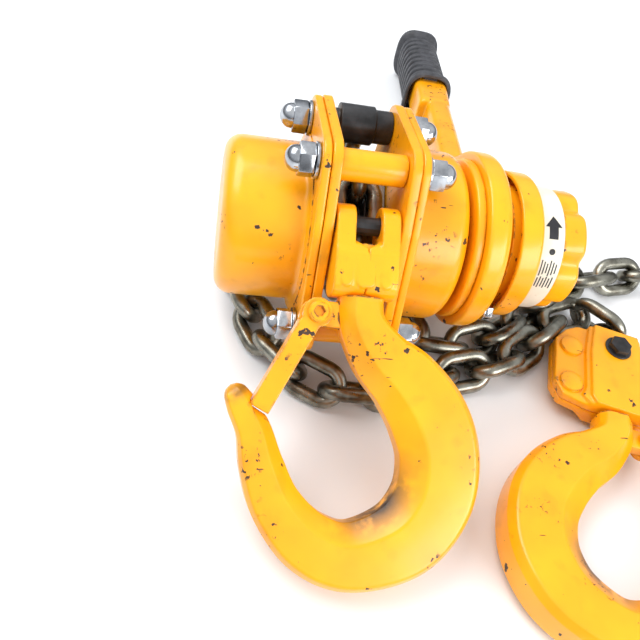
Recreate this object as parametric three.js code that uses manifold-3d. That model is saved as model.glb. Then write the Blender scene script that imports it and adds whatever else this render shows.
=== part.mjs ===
// Lever chain hoist, 1.6 t class, lying on a floor with its two hooks and its chain.
// Millimetres, +Z up. The sheave axis runs along X, the gear cover is at -X, the knob at +X,
// the hooks reach towards -Y and the lever towards +Y. Most shapes are written in the hoist's
// own frame, whose origin is on the sheave axis, and one group lifts them all off the floor.
import * as THREE from 'three';
import { mergeVertices } from 'three/addons/utils/BufferGeometryUtils.js';
import Module from 'manifold-3d';

const wasm = await Module();
wasm.setup();

// ---------- driving dimensions ----------
const CHAIN_WIRE = 7.1;
const CHAIN_PITCH = 21;
const CHAIN_WIDTH = 3.3 * CHAIN_WIRE;
const POCKETS = 4;
const GAP = 0.3; // running and fitting gap between any two pieces
const AXIS_HEIGHT = 57; // the hoist lies on its own chain

const PLATE_IN = 14.5; // inner face of a frame plate, from the middle of the sheave
const PLATE_OUT = 18.8;
const FLANGE_IN = PLATE_OUT + GAP;
const FLANGE_OUT = 22.8;
const COVER_WALL = 1.8;
const GEAR_COVER_R = 37.2;
const GEAR_COVER_END = -60;
const BRAKE_COVER_R = 41;
const BRAKE_COVER_END = 50;

const BOLT_R = 4;
const NUT_AF = 13;
const NUT_LENGTH = 7;
const WASHER_R = 7.8;
const WASHER_T = 1.5;
const NUT_SEAT = FLANGE_OUT + GAP;
// Stay bolts, as [y, z] from the sheave axis.
const BACK_BOLT = [24, 41.8];
const FRONT_BOLT = [-14.9, 48.9];
const LOWER_BOLT = [-49.8, -16.6];
const TOP_PIN = [-31.5, 31];
const TOP_PIN_R = 4;

const SHAFT_R = 5;
const GEAR_MODULE = 1.25;
const PINION_TEETH = 8;
const WHEEL_TEETH = 22;
const GEAR_CENTRES = GEAR_MODULE * (PINION_TEETH + WHEEL_TEETH) / 2;
const GEAR_LINE_DEG = 65; // direction of the upper reduction gear, from +Y towards +Z
const FIRST_GEARS = [-56.5, -49.5]; // along X: the shaft's pinion and the two wheels
const SECOND_GEARS = [-47.5, -40.5]; // the two small pinions and the load gear

const HUB_R = 43.2;
const HUB_IN = 52.5;
const HUB_OUT = 69;
const HUB_SPLIT = 60.6;
const LEVER_DROP_DEG = 9;
const LEVER_YAW_DEG = 5.6;
const LEVER_LENGTH = 248;
const GRIP_LENGTH = 84;
const ARM_WIDTH = 20;
const ARM_HEIGHT = 19;
const ARM_WALL = 2.6;

const RING_R = 36;
const RING_IN = 76;
const RING_OUT = 87.5;
const KNOB_R = 29.6;
const SLEEVE_R = 29.7;
const SLEEVE_IN = 74.5;
const BAND_IN = 88.5;
const BAND_OUT = 100;
const KNOB_OUT = 113;

const HOOK_DROP_DEG = 33.8; // the top hook points towards -Y and down by this
const BOTTOM_BOLT_AT = [157, -34]; // chain bolt of the bottom block, as [x, y]
const BOTTOM_TURN_DEG = 17; // the bottom hook points towards -Y, turned this much to -X
const BOTTOM_Z = 12.6; // middle plane of the bottom block, above the floor
const BOTTOM_HOOK_SHIFT = 11;

// ---------- colours ----------
const YELLOW = { color: '#f2a71e', roughness: 0.38, metalness: 0 };
const ZINC = { color: '#c9cbcc', roughness: 0.22, metalness: 1 };
const STEEL = { color: '#8d8981', roughness: 0.42, metalness: 1 };
const CHAIN_STEEL = { color: '#6d655c', roughness: 0.4, metalness: 1 };
const BLACK_RUBBER = { color: '#26272a', roughness: 0.75, metalness: 0 };
const BLACK_STEEL = { color: '#2a2a2c', roughness: 0.5, metalness: 0 };
const LABEL = { color: '#f1ecda', roughness: 0.4, metalness: 0 };
const FRICTION = { color: '#5c4a3a', roughness: 0.9, metalness: 0 };

// ---------- small tools ----------
const rad = THREE.MathUtils.degToRad;
const polar = (r, deg) => [r * Math.cos(rad(deg)), r * Math.sin(rad(deg))];
const X = new THREE.Vector3(1, 0, 0);
const Y = new THREE.Vector3(0, 1, 0);
const Z = new THREE.Vector3(0, 0, 1);
const ALONG_X = new THREE.Matrix4().makeBasis(Y, Z, X); // drawn in YZ, extruded along X
const TURNED_X = new THREE.Matrix4().makeBasis(Z, X, Y); // turned about X

// A closed geometry as a manifold solid, whichever way round its faces were made.
function solid(geometry, matrix) {
  const g = geometry.clone();
  if (matrix) g.applyMatrix4(matrix);
  g.deleteAttribute('normal');
  g.deleteAttribute('uv');
  const merged = mergeVertices(g, 1e-4);
  const p = merged.attributes.position.array;
  const index = [];
  let volume = 0;
  const a = new THREE.Vector3();
  const b = new THREE.Vector3();
  const c = new THREE.Vector3();
  for (let i = 0; i < merged.index.count; i += 3) {
    const [i0, i1, i2] = [0, 1, 2].map((k) => merged.index.getX(i + k));
    if (i0 === i1 || i1 === i2 || i2 === i0) continue;
    index.push(i0, i1, i2);
    volume += a.fromArray(p, 3 * i0).dot(b.fromArray(p, 3 * i1).cross(c.fromArray(p, 3 * i2)));
  }
  if (volume < 0) index.reverse();
  return new wasm.Manifold(new wasm.Mesh({
    numProp: 3, vertProperties: new Float32Array(p), triVerts: new Uint32Array(index),
  }));
}

const join = (first, ...rest) => rest.reduce((s, t) => s.add(t), first);
const cut = (first, ...rest) => rest.reduce((s, t) => s.subtract(t), first);

function turned(profile, segments = 24, matrix = null) {
  const points = profile.map(([x, r]) => new THREE.Vector2(r, x));
  const m = matrix ? matrix.clone().multiply(TURNED_X) : TURNED_X;
  return solid(new THREE.LatheGeometry(points, segments), m);
}

function rod(r, x0, x1, [y, z] = [0, 0], segments = 12) {
  return turned([[x0, 0], [x0, r], [x1, r], [x1, 0]], segments,
    new THREE.Matrix4().makeTranslation(0, y, z));
}

function tube(r, bore, x0, x1, [y, z] = [0, 0], segments = 14) {
  return turned([[x0, bore], [x0, r], [x1, r], [x1, bore], [x0, bore]], segments,
    new THREE.Matrix4().makeTranslation(0, y, z));
}

function prism(shape, x0, x1, matrix = ALONG_X) {
  const g = new THREE.ExtrudeGeometry(shape,
    { depth: x1 - x0, bevelEnabled: false, curveSegments: 6 });
  g.translate(0, 0, x0);
  return solid(g, matrix);
}

const polygon = (points) => new THREE.Shape(points.map(([a, b]) => new THREE.Vector2(a, b)));

function block(size, centre, matrix = null) {
  const g = new THREE.BoxGeometry(...size);
  g.translate(...centre);
  return solid(g, matrix);
}

// The outline that a belt around some discs would take, each disc as [y, z, radius].
function beltOutline(discs, steps = 20) {
  const points = [];
  for (const [y, z, r] of discs) {
    for (let i = 0; i < steps; i += 1) {
      const [dy, dz] = polar(r, 360 * i / steps);
      points.push([y + dy, z + dz]);
    }
  }
  points.sort((p, q) => p[0] - q[0] || p[1] - q[1]);
  const side = (list) => {
    const chain = [];
    for (const p of list) {
      while (chain.length > 1) {
        const [q, o] = [chain[chain.length - 1], chain[chain.length - 2]];
        if ((q[0] - o[0]) * (p[1] - o[1]) - (q[1] - o[1]) * (p[0] - o[0]) > 0) break;
        chain.pop();
      }
      chain.push(p);
    }
    return chain.slice(0, -1);
  };
  return [...side(points), ...side(points.reverse())];
}

// A closed skin through rings of points, with a fan over each end.
function loft(rings) {
  const n = rings[0].length;
  const points = rings.flat();
  const index = [];
  rings.slice(1).forEach((ring, k) => {
    for (let i = 0; i < n; i += 1) {
      const [a, b] = [k * n + i, k * n + (i + 1) % n];
      index.push(a, b, b + n, a, b + n, a + n);
    }
  });
  const ends = [[0, 1], [(rings.length - 1) * n, -1]];
  for (const [start, way] of ends) {
    const middle = new THREE.Vector3();
    for (let i = 0; i < n; i += 1) middle.addScaledVector(points[start + i], 1 / n);
    const apex = points.push(middle) - 1;
    for (let i = 0; i < n; i += 1) {
      const [a, b] = [start + i, start + (i + 1) % n];
      index.push(...(way > 0 ? [apex, b, a] : [apex, a, b]));
    }
  }
  const g = new THREE.BufferGeometry().setFromPoints(points);
  g.setIndex(index);
  return g;
}

// ---------- frame ----------
const plateOutline = beltOutline([
  [...BACK_BOLT, 11], [...FRONT_BOLT, 11.5], [...LOWER_BOLT, 11], [...TOP_PIN, 7.2], [0, 0, 38.5],
]);

function framePlate(side) {
  const [x0, x1] = side < 0 ? [-PLATE_OUT, -PLATE_IN] : [PLATE_IN, PLATE_OUT];
  return cut(prism(polygon(plateOutline), x0, x1),
    rod(15.6, x0 - 1, x1 + 1, [0, 0], 24), rod(TOP_PIN_R + GAP, x0 - 1, x1 + 1, TOP_PIN),
    ...[BACK_BOLT, FRONT_BOLT, LOWER_BOLT].map((at) => rod(BOLT_R + GAP, x0 - 1, x1 + 1, at)));
}

function roundedCup(x0, xEnd, r, corner, hole) {
  const way = Math.sign(xEnd - x0);
  const profile = [[x0, r - COVER_WALL], [x0, r]];
  const arc = (radius) => [0, 1, 2, 3].map((k) => {
    const a = rad(90 * k / 3);
    return [xEnd - way * (corner - radius * Math.sin(a)), r - corner + radius * Math.cos(a)];
  });
  profile.push(...arc(corner), [xEnd, hole], [xEnd - way * COVER_WALL, hole]);
  profile.push(...arc(corner - COVER_WALL).reverse(), [x0, r - COVER_WALL]);
  return turned(profile, 36);
}

function cover(side, r, xEnd, corner, hole) {
  const [x0, x1] = side < 0 ? [-FLANGE_OUT, -FLANGE_IN] : [FLANGE_IN, FLANGE_OUT];
  const flange = cut(prism(polygon(plateOutline), x0, x1),
    rod(Math.min(r, 38) - COVER_WALL, x0 - 1, x1 + 1, [0, 0], 36),
    ...[BACK_BOLT, FRONT_BOLT, LOWER_BOLT].map((at) => rod(BOLT_R + GAP, x0 - 1, x1 + 1, at)));
  return join(flange, roundedCup(side * (FLANGE_IN + 0.4), xEnd, r, corner, hole));
}

function brakeCover() {
  // The drum is wider than the line through the bolts, so it is cut back around each nut.
  const room = [BACK_BOLT, FRONT_BOLT, LOWER_BOLT].map((at) =>
    rod(WASHER_R + 1, FLANGE_OUT, BRAKE_COVER_END + 1, at, 16));
  return cut(cover(1, BRAKE_COVER_R, BRAKE_COVER_END, 7, 15), ...room);
}

const boltEnd = NUT_SEAT + WASHER_T + NUT_LENGTH + 0.6;
const stayBolt = (at) => rod(BOLT_R, -boltEnd, boltEnd, at);
const stayTube = (r, at) => tube(r, BOLT_R + GAP, -PLATE_IN + GAP, PLATE_IN - GAP, at, 16);

function capNut(side, at) {
  const hexR = NUT_AF / Math.sqrt(3);
  const hex = polygon([0, 1, 2, 3, 4, 5].map((k) => polar(hexR, 60 * k + 20)));
  const m = new THREE.Matrix4().makeTranslation(0, ...at).multiply(ALONG_X);
  const [s, w, l] = [NUT_SEAT, WASHER_T, NUT_LENGTH];
  const span = (a, b) => (side < 0 ? [-b, -a] : [a, b]);
  const domeR = NUT_AF * 0.47;
  const dome = [0, 1, 2, 3].map((k) => {
    const a = rad(30 * k);
    return [side * (s + w + l + domeR * 0.8 * Math.sin(a)), domeR * Math.cos(a)];
  });
  dome[3][1] = 0;
  const place = new THREE.Matrix4().makeTranslation(0, ...at);
  return cut(
    join(rod(WASHER_R, ...span(s, s + w), at, 16), prism(hex, ...span(s + w - 0.01, s + w + l), m),
      turned([[side * (s + w + 0.5), 0], [side * (s + w + 0.5), domeR], ...dome], 12, place)),
    rod(BOLT_R + GAP, ...span(s - 1, boltEnd + GAP), at));
}

function guideRoller() {
  const neck = 4;
  const half = PLATE_IN - GAP;
  return turned([
    [-half, BOLT_R + GAP], [-half, 6.2], [-half + neck, 6.2], [-half + neck, 7.6], [-half + neck + 1, 8.5],
    [half - 1, 8.5], [half, 7.6], [half, BOLT_R + GAP], [-half, BOLT_R + GAP],
  ], 20, new THREE.Matrix4().makeTranslation(0, ...BACK_BOLT));
}

function chainGuide() {
  // A bar between the plates that keeps the two strands apart where they leave the sheave.
  const half = PLATE_IN - GAP;
  return prism(polygon([[41.5, -6], [44, -10], [50, -9], [52, -3], [48, 0], [42, -2]]), -half, half);
}

// ---------- gears and sheave ----------
function gear(teeth, x0, x1, phaseDeg, [y, z] = [0, 0], hubR = 0) {
  const r = GEAR_MODULE * teeth / 2;
  const pitchDeg = 360 / teeth;
  const outline = [];
  for (let i = 0; i < teeth; i += 1) {
    const mid = phaseDeg + i * pitchDeg;
    const at = (radius, share) => polar(radius, mid + share * pitchDeg);
    outline.push(at(r - 1.2 * GEAR_MODULE, -0.26), at(r + 0.85 * GEAR_MODULE, -0.1),
      at(r + 0.85 * GEAR_MODULE, 0.1), at(r - 1.2 * GEAR_MODULE, 0.26));
  }
  const wheel = prism(polygon(outline.map(([a, b]) => [a + y, b + z])), x0, x1);
  return hubR ? cut(wheel, rod(hubR, x0 - 1, x1 + 1, [y, z])) : wheel;
}

const SHEAVE_R = Math.hypot(CHAIN_PITCH / Math.sin(rad(90 / POCKETS)),
  CHAIN_WIRE / Math.cos(rad(90 / POCKETS))) / 2; // pitch circle of the pocket sheave
const FLAT_LINK_R = SHEAVE_R * Math.cos(rad(90 / POCKETS)); // middle of a link in its pocket
const LINK_SWEEP_R = 40.2; // clear of the upright links as the sheave turns
const GROOVE_R = 13.2; // room for the upright links' inner sides
const CHAIN_EXIT_DEG = 28; // both strands leave the sheave this way, from +Y towards +Z

function loadSheave() {
  const half = PLATE_IN - 0.6;
  const body = turned([
    [-48, SHAFT_R + 0.4], [-48, 9], [-40.2, 9], [-40.2, 11], [-20, 11], [-20, 15], [-half, 15],
    [-half, 31], [-4.6, 31], [-4.6, GROOVE_R], [4.6, GROOVE_R], [4.6, 31], [half, 31], [half, 15],
    [22.5, 15], [22.5, SHAFT_R + 0.4], [-48, SHAFT_R + 0.4],
  ], 24);
  const pockets = [];
  for (let i = 0; i < POCKETS; i += 1) {
    const turn = new THREE.Matrix4().makeRotationX(rad(CHAIN_EXIT_DEG + i * 360 / POCKETS));
    const floorR = FLAT_LINK_R - CHAIN_WIRE / 2 - GAP;
    const length = CHAIN_PITCH + 2 * CHAIN_WIRE + 1.2;
    pockets.push(block([2 * half + 1, 20, length], [0, floorR + 10, 0], turn));
  }
  return cut(body, ...pockets);
}

// One chain link, its middle line a stadium, standing in the plane of its two given directions.
function link(middle, along, across, sides = 6, arcs = 3) {
  const straight = CHAIN_PITCH / 2 - (CHAIN_WIDTH - CHAIN_WIRE) / 2 + CHAIN_WIRE / 2;
  const bend = (CHAIN_WIDTH - CHAIN_WIRE) / 2;
  const normal = new THREE.Vector3().crossVectors(along, across);
  const rings = [];
  for (const end of [1, -1]) {
    for (let i = 0; i <= arcs; i += 1) {
      const a = rad(180 * i / arcs - 90);
      const out = along.clone().multiplyScalar(end * Math.cos(a))
        .addScaledVector(across, end * Math.sin(a));
      const centre = middle.clone().addScaledVector(along, end * straight).addScaledVector(out, bend);
      const ring = [];
      for (let k = 0; k < sides; k += 1) {
        const [p, q] = polar(CHAIN_WIRE / 2, 360 * k / sides);
        ring.push(centre.clone().addScaledVector(out, p).addScaledVector(normal, q));
      }
      rings.push(ring);
    }
  }
  const n = sides;
  const points = rings.flat();
  const index = [];
  rings.forEach((ring, k) => {
    const next = (k + 1) % rings.length;
    for (let i = 0; i < n; i += 1) {
      const [a, b, c, d] = [k * n + i, k * n + (i + 1) % n, next * n + (i + 1) % n, next * n + i];
      index.push(a, b, c, a, c, d);
    }
  });
  const g = new THREE.BufferGeometry().setFromPoints(points);
  g.setIndex(index);
  return solid(g);
}

// The links that lie on the sheave: flat ones in its pockets, upright ones between them. The
// upright ones touch the flat ones where the load pulls them together, so they are one body.
function wrappedChain() {
  const pieces = [];
  const step = 180 / POCKETS;
  for (let i = 2; i <= 6; i += 1) {
    const angle = CHAIN_EXIT_DEG + i * step;
    const radial = new THREE.Vector3(0, ...polar(1, angle));
    const along = new THREE.Vector3(0, ...polar(1, angle + 90));
    const upright = i % 2 !== 0;
    const middle = radial.clone().multiplyScalar(FLAT_LINK_R);
    pieces.push(link(middle, along, upright ? radial : X));
  }
  return join(...pieces);
}

function pinionShaft() {
  const shaft = turned([
    [-57.6, 0], [-57.6, 3.4], [-49, 3.4], [-49, SHAFT_R], [99.8, SHAFT_R], [99.8, 4], [109, 4],
    [109, 0],
  ], 16);
  return join(shaft, gear(PINION_TEETH, ...FIRST_GEARS, GEAR_LINE_DEG));
}

function reductionGear(directionDeg) {
  const at = polar(GEAR_CENTRES, directionDeg);
  const back = directionDeg + 180;
  return join(gear(WHEEL_TEETH, ...FIRST_GEARS, back + 180 / WHEEL_TEETH, at),
    gear(PINION_TEETH, FIRST_GEARS[1] - 0.1, SECOND_GEARS[1] + 0.5, back, at), rod(3.2, -57.8, -19.2, at));
}

// ---------- brake ----------
function ratchetDisc() {
  const teeth = 16;
  const outline = [];
  for (let i = 0; i < teeth; i += 1) {
    outline.push(polar(27.5, 360 * i / teeth), polar(31.5, 360 * i / teeth + 1.5));
  }
  return cut(prism(polygon(outline), 31.6, 36.2), rod(13.4, 31, 37, [0, 0], 20));
}

function brakePawl(directionDeg) {
  const m = new THREE.Matrix4().makeRotationX(rad(directionDeg)).multiply(ALONG_X);
  const outline = polygon([[33, 3], [36.5, 4], [38, 0], [37, -6], [34, -9], [32.4, -8.4], [33.6, -4]]);
  const pin = new THREE.Matrix4().makeRotationX(rad(directionDeg))
    .multiply(new THREE.Matrix4().makeTranslation(0, 36, 1));
  return join(prism(outline, 31.8, 36, m), turned([[23.1, 0], [23.1, 1.7], [37, 1.7], [37, 0]], 10, pin));
}

// ---------- lever ----------
const LEVER_TURN = new THREE.Matrix4().makeRotationX(rad(-LEVER_DROP_DEG));
const ARM_X = (HUB_IN + HUB_OUT) / 2 - 1;
const ARM_TURN = LEVER_TURN.clone()
  .multiply(new THREE.Matrix4().makeTranslation(ARM_X, 0, 0))
  .multiply(new THREE.Matrix4().makeRotationZ(rad(-LEVER_YAW_DEG)));
const ARM_START = 30;
const GRIP_START = LEVER_LENGTH - GRIP_LENGTH;

function leverHousing() {
  const shell = turned([
    [HUB_IN, 15], [HUB_IN, 38], [HUB_IN + 1.4, 41.6], [HUB_IN + 4, HUB_R], [HUB_SPLIT, HUB_R],
    [HUB_SPLIT, HUB_R - 2], [HUB_IN + 4.6, HUB_R - 2], [HUB_IN + 2, 38], [HUB_IN + 2, 15], [HUB_IN, 15],
  ], 36);
  const hole = rod(HUB_R - 2, HUB_IN + 3, HUB_OUT + 1, [0, 0], 36);
  const length = LEVER_LENGTH - 6 - ARM_START;
  const inner = ARM_WIDTH - 2 * ARM_WALL;
  const outer = block([ARM_WIDTH, length, ARM_HEIGHT], [0, ARM_START + length / 2, 1], ARM_TURN);
  const channel = block([inner, length + 4, ARM_HEIGHT],
    [0, ARM_START + length / 2, 1 - ARM_WALL], ARM_TURN);
  const arm = cut(outer, channel, hole,
    block([ARM_WIDTH, 60, 60], [HUB_SPLIT + 0.3 + ARM_WIDTH / 2, 12.5, 0], LEVER_TURN));
  return join(shell, arm);
}

function leverOuterShell() {
  const shell = turned([
    [HUB_SPLIT + GAP, HUB_R - 2], [HUB_SPLIT + GAP, HUB_R], [HUB_OUT - 4, HUB_R], [HUB_OUT - 1.4, 41.6],
    [HUB_OUT, 38], [HUB_OUT, 14], [HUB_OUT - 2, 14], [HUB_OUT - 2, 38], [HUB_OUT - 4.6, HUB_R - 2],
    [HUB_SPLIT + GAP, HUB_R - 2],
  ], 36);
  return cut(shell, rod(3 + GAP, HUB_SPLIT, HUB_OUT + 1, SELECTOR_AT),
    block([ARM_WIDTH + 1.2, 40, ARM_HEIGHT + 1.4], [0, ARM_START + 20, 1], ARM_TURN));
}

function grip() {
  // Rounded-square rings along the arm: each rib is a raised pair of them.
  const stations = [[GRIP_START, 14.8], [GRIP_START + 4, 14.8], [GRIP_START + 4.4, 12.6]];
  const ribs = 7;
  for (let i = 0; i < ribs; i += 1) {
    const at = GRIP_START + 10 + i * 10;
    stations.push([at, 12.6], [at + 0.8, 14], [at + 4.8, 14], [at + 5.6, 12.6]);
  }
  stations.push([LEVER_LENGTH - 4.6, 12.8], [LEVER_LENGTH - 4, 16.5], [LEVER_LENGTH, 16.5]);
  const corners = [[1, 0.62], [0.62, 1], [-0.62, 1], [-1, 0.62], [-1, -0.62], [-0.62, -1], [0.62, -1],
    [1, -0.62]];
  const rings = stations.map(([y, r]) => corners.map(([a, b]) => new THREE.Vector3(a * r, y, b * r)));
  const socket = block([ARM_WIDTH + 2 * GAP, GRIP_LENGTH - 4, ARM_HEIGHT + 2 * GAP],
    [0, GRIP_START + (GRIP_LENGTH - 4) / 2 - 1, 1], ARM_TURN);
  return cut(solid(loft(rings), ARM_TURN), socket);
}

function hexBolt(at, x0, x1, headT, af) {
  const hex = polygon([0, 1, 2, 3, 4, 5].map((k) => polar(af / Math.sqrt(3), 60 * k)));
  const m = new THREE.Matrix4().makeTranslation(0, ...at).multiply(ALONG_X);
  return join(prism(hex, x1 - headT, x1, m), rod(2.5, x0, x1 - headT + 0.2, at, 14));
}

const SELECTOR_AT = polar(24, 60);

function selector() {
  const at = SELECTOR_AT;
  const knobMatrix = new THREE.Matrix4().makeTranslation(0, ...at).multiply(ALONG_X);
  const pawl = prism(polygon([[-8, -2.6], [-3, 2.6], [3, 2.6], [8, -2.6], [0, -0.6]]), 56, 63, knobMatrix);
  const toggle = prism(polygon([[-3, -3], [3, -3], [2.4, 9.5], [-2.4, 9.5]]), HUB_OUT + 0.4, HUB_OUT + 4, knobMatrix);
  return join(rod(3, 56, HUB_OUT + 4, at, 16), pawl, toggle);
}

function handwheelSkirt() {
  // A cup open towards the lever, round the handwheel's sleeve.
  return turned([
    [RING_IN, RING_R - 2], [RING_IN, RING_R], [RING_OUT - 2.4, RING_R], [RING_OUT - 0.8, RING_R - 1],
    [RING_OUT, RING_R - 2.6], [RING_OUT, SLEEVE_R + GAP], [RING_OUT - 2, SLEEVE_R + GAP],
    [RING_OUT - 2, RING_R - 3.4], [RING_OUT - 3.4, RING_R - 2], [RING_IN, RING_R - 2],
  ], 32);
}

function knob() {
  const outline = [];
  const lobes = 6;
  const steps = 48;
  for (let i = 0; i < steps; i += 1) {
    const a = 360 * i / steps;
    outline.push(polar(KNOB_R - 2.2 * (0.5 - 0.5 * Math.cos(rad(lobes * a))) ** 3 - 0.2, a));
  }
  const sleeve = turned([
    [SLEEVE_IN, 26], [SLEEVE_IN, SLEEVE_R], [BAND_OUT + 1, SLEEVE_R], [BAND_OUT + 1, 23],
    [SLEEVE_IN + 5, 23], [SLEEVE_IN, 26],
  ], 32);
  const head = prism(polygon(outline), BAND_OUT + GAP, KNOB_OUT);
  const recess = turned([[KNOB_OUT - 10, 0], [KNOB_OUT - 10, 16], [KNOB_OUT + 1, 19], [KNOB_OUT + 1, 0]], 20);
  return cut(join(sleeve, head), recess, rod(4.3, BAND_OUT - 2, KNOB_OUT, [0, 0], 20));
}

const labelBand = () => tube(30.7, 30, BAND_IN, BAND_OUT, [0, 0], 32);

function shaftNut() {
  const hex = polygon([0, 1, 2, 3, 4, 5].map((k) => polar(7.5, 60 * k)));
  return cut(prism(hex, 107.3, 112), rod(4.3, 106, 109.3));
}

// ---------- hooks and latches, written in (u, w, n): u to the hook's back, w down its shank ----------
const dropSin = Math.sin(rad(HOOK_DROP_DEG));
const dropCos = Math.cos(rad(HOOK_DROP_DEG));
const TOP_W = new THREE.Vector3(0, -dropCos, -dropSin);
const TOP_FRAME = new THREE.Matrix4().makeTranslation(0, ...TOP_PIN).multiply(
  new THREE.Matrix4().makeBasis(X, TOP_W, new THREE.Vector3().crossVectors(X, TOP_W)));
const turnSin = Math.sin(rad(BOTTOM_TURN_DEG));
const turnCos = Math.cos(rad(BOTTOM_TURN_DEG));
const BOTTOM_U = new THREE.Vector3(-turnCos, turnSin, 0);
const BOTTOM_W = new THREE.Vector3(-turnSin, -turnCos, 0);
const BOTTOM_FRAME = new THREE.Matrix4()
  .makeTranslation(BOTTOM_BOLT_AT[0], BOTTOM_BOLT_AT[1], BOTTOM_Z - AXIS_HEIGHT)
  .multiply(new THREE.Matrix4().makeBasis(BOTTOM_U, BOTTOM_W, Z));
const alongW = (m, u = 0, w = 0, n = 0) => m.clone().multiply(
  new THREE.Matrix4().makeTranslation(u, w, n)).multiply(
  new THREE.Matrix4().makeBasis(Y, new THREE.Vector3(-1, 0, 0), Z));
const alongN = (m, u = 0, w = 0, n = 0) => m.clone().multiply(
  new THREE.Matrix4().makeTranslation(u, w, n)).multiply(
  new THREE.Matrix4().makeBasis(Z, X, Y));

const NECK_R = 5.4;
const HEAD_R = 7.6;
const LATCH_PIVOT = [-18.5, 38.5];
const LATCH_TIP = [-40, 81];
// Middle line of the hook as [u, w, width in its plane, thickness].
const HOOK_STATIONS = [
  [0, 33.2, 20, 20], [0.4, 40, 20, 20], [3.4, 47, 21, 20], [10.5, 56, 25, 20], [21.5, 65.5, 30, 21],
  [31.5, 79, 33.5, 22], [36.7, 94.5, 34, 22], [34.7, 112.5, 33.5, 22], [23, 128, 31.5, 22],
  [1.5, 135.5, 27, 21], [-16, 130.5, 24.5, 20], [-29.5, 117, 21, 18], [-36.7, 101.5, 18, 16],
  [-40.8, 88, 14.5, 14], [-46.6, 77.5, 12.5, 13], [-51.2, 70, 8, 9],
];

function hookBody(frame, shift) {
  const line = new THREE.CatmullRomCurve3(HOOK_STATIONS.map(([u, w]) => new THREE.Vector3(u, w, 0)));
  const size = new THREE.CatmullRomCurve3(HOOK_STATIONS.map(([, , a, b]) => new THREE.Vector3(a, b, 0)));
  const rings = [];
  const steps = 26;
  const sides = 12;
  for (let i = 0; i <= steps; i += 1) {
    const t = i / steps;
    const p = line.getPoint(t);
    const tangent = line.getTangent(t);
    const across = new THREE.Vector3(tangent.y, -tangent.x, 0);
    const s = size.getPoint(t);
    const ring = [];
    const square = 1 - 0.28 * Math.min(1, i / 5);
    for (let k = 0; k < sides; k += 1) {
      const [c, d] = polar(1, 360 * (k + 0.5) / sides);
      const soften = (v) => Math.sign(v) * Math.abs(v) ** square;
      ring.push(p.clone().addScaledVector(across, soften(c) * s.x / 2)
        .addScaledVector(Z, soften(d) * s.y / 2).add(new THREE.Vector3(0, shift, 0)));
    }
    rings.push(ring);
  }
  const body = solid(loft(rings), frame);
  const m = alongW(frame, 0, shift, 0);
  const neck = turned([[9, 0], [9, HEAD_R], [20, HEAD_R], [20, NECK_R], [33.4, NECK_R], [33.4, 0]], 16, m);
  const [pu, pw] = LATCH_PIVOT;
  const lugFrame = alongN(frame, pu, pw + shift, 0);
  const lug = join(
    turned([[-3.2, 0], [-3.2, 5.6], [3.2, 5.6], [3.2, 0]], 14, lugFrame),
    block([12, 10, 6.4], [pu + 6, pw + shift + 0.6, 0], frame));
  const bore = turned([[-4, 0], [-4, 2.5 + GAP], [4, 2.5 + GAP], [4, 0]], 10, lugFrame);
  const [m2, length] = latchFrame(frame, shift);
  const seat = block([20, 15, 40], [4.6, length - 8.9, 0], m2);
  return cut(join(body, neck, lug), bore, seat);
}

// The frame of a latch, with its length: x across it towards the bowl, y from its pivot to its tip.
function latchFrame(frame, shift) {
  const [pu, pw] = LATCH_PIVOT;
  const [tu, tw] = LATCH_TIP;
  const m = frame.clone().multiply(new THREE.Matrix4().makeTranslation(pu, pw + shift, 0))
    .multiply(new THREE.Matrix4().makeRotationZ(Math.atan2(pu - tu, tw - pw)));
  return [m, Math.hypot(tu - pu, tw - pw)];
}

function latch(frame, shift) {
  const [m, length] = latchFrame(frame, shift);
  const half = 5.6;
  const arm = block([8.4, length - 2, 2 * half], [-0.6, length / 2 - 1, 0], m);
  const eye = turned([[-half, 0], [-half, 6.2], [half, 6.2], [half, 0]], 16, alongN(m));
  const hollow = block([8.4, length + 10, 2 * half - 4], [1.4, length / 2 - 7.2, 0], m);
  const round = turned([[-half + 2, 0], [-half + 2, 7], [half - 2, 7], [half - 2, 0]], 16, alongN(m));
  const bore = turned([[-7, 0], [-7, 2.5 + GAP], [7, 2.5 + GAP], [7, 0]], 10, alongN(m));
  return cut(join(arm, eye), hollow, round, bore);
}

function latchPin(frame, shift) {
  const m = alongN(frame, LATCH_PIVOT[0], LATCH_PIVOT[1] + shift, 0);
  return turned([[-8.4, 0], [-8.4, 1.6], [-7.6, 1.6], [-7.6, 4.2], [-5.9, 4.2], [-5.9, 2.5], [7.4, 2.5],
    [7.4, 0]], 10, m);
}

// One half of the top yoke: an ear around the pin, and a shell around the hook's head.
function topYoke(side) {
  const m = TOP_FRAME.clone().multiply(new THREE.Matrix4().makeBasis(Y, Z, X));
  const earOut = 13.6;
  const span = (a, b) => (side < 0 ? [-b, -a] : [a, b]);
  const ear = beltOutline([[0, 0, 8.6], [14, 0, 9.4]], 20);
  const shell = beltOutline([[13.5, -3.5, 6.4], [13.5, 3.5, 6.4], [24.6, 2.6, 6.6], [24.6, -2.6, 6.6]], 16);
  const body = join(prism(polygon(ear), ...span(5.6, earOut), m),
    prism(polygon(shell), ...span(GAP / 2, earOut), m));
  const w = alongW(TOP_FRAME);
  return cut(body,
    turned([[8.6, 0], [8.6, HEAD_R + GAP], [20.4, HEAD_R + GAP], [20.4, NECK_R + GAP],
      [34, NECK_R + GAP], [34, 0]], 16, w),
    turned([[-14, 0], [-14, TOP_PIN_R + GAP], [14, TOP_PIN_R + GAP], [14, 0]], 12,
      new THREE.Matrix4().makeTranslation(0, ...TOP_PIN)),
    prism(polygon([[-5.6, 0], [5.6, 0], [5.6, 7], [0, 11.2], [-5.6, 7]]), -20, 20,
      TOP_FRAME), rod(LINK_SWEEP_R, -5.2, 5.2, [0, 0], 40));
}

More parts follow.
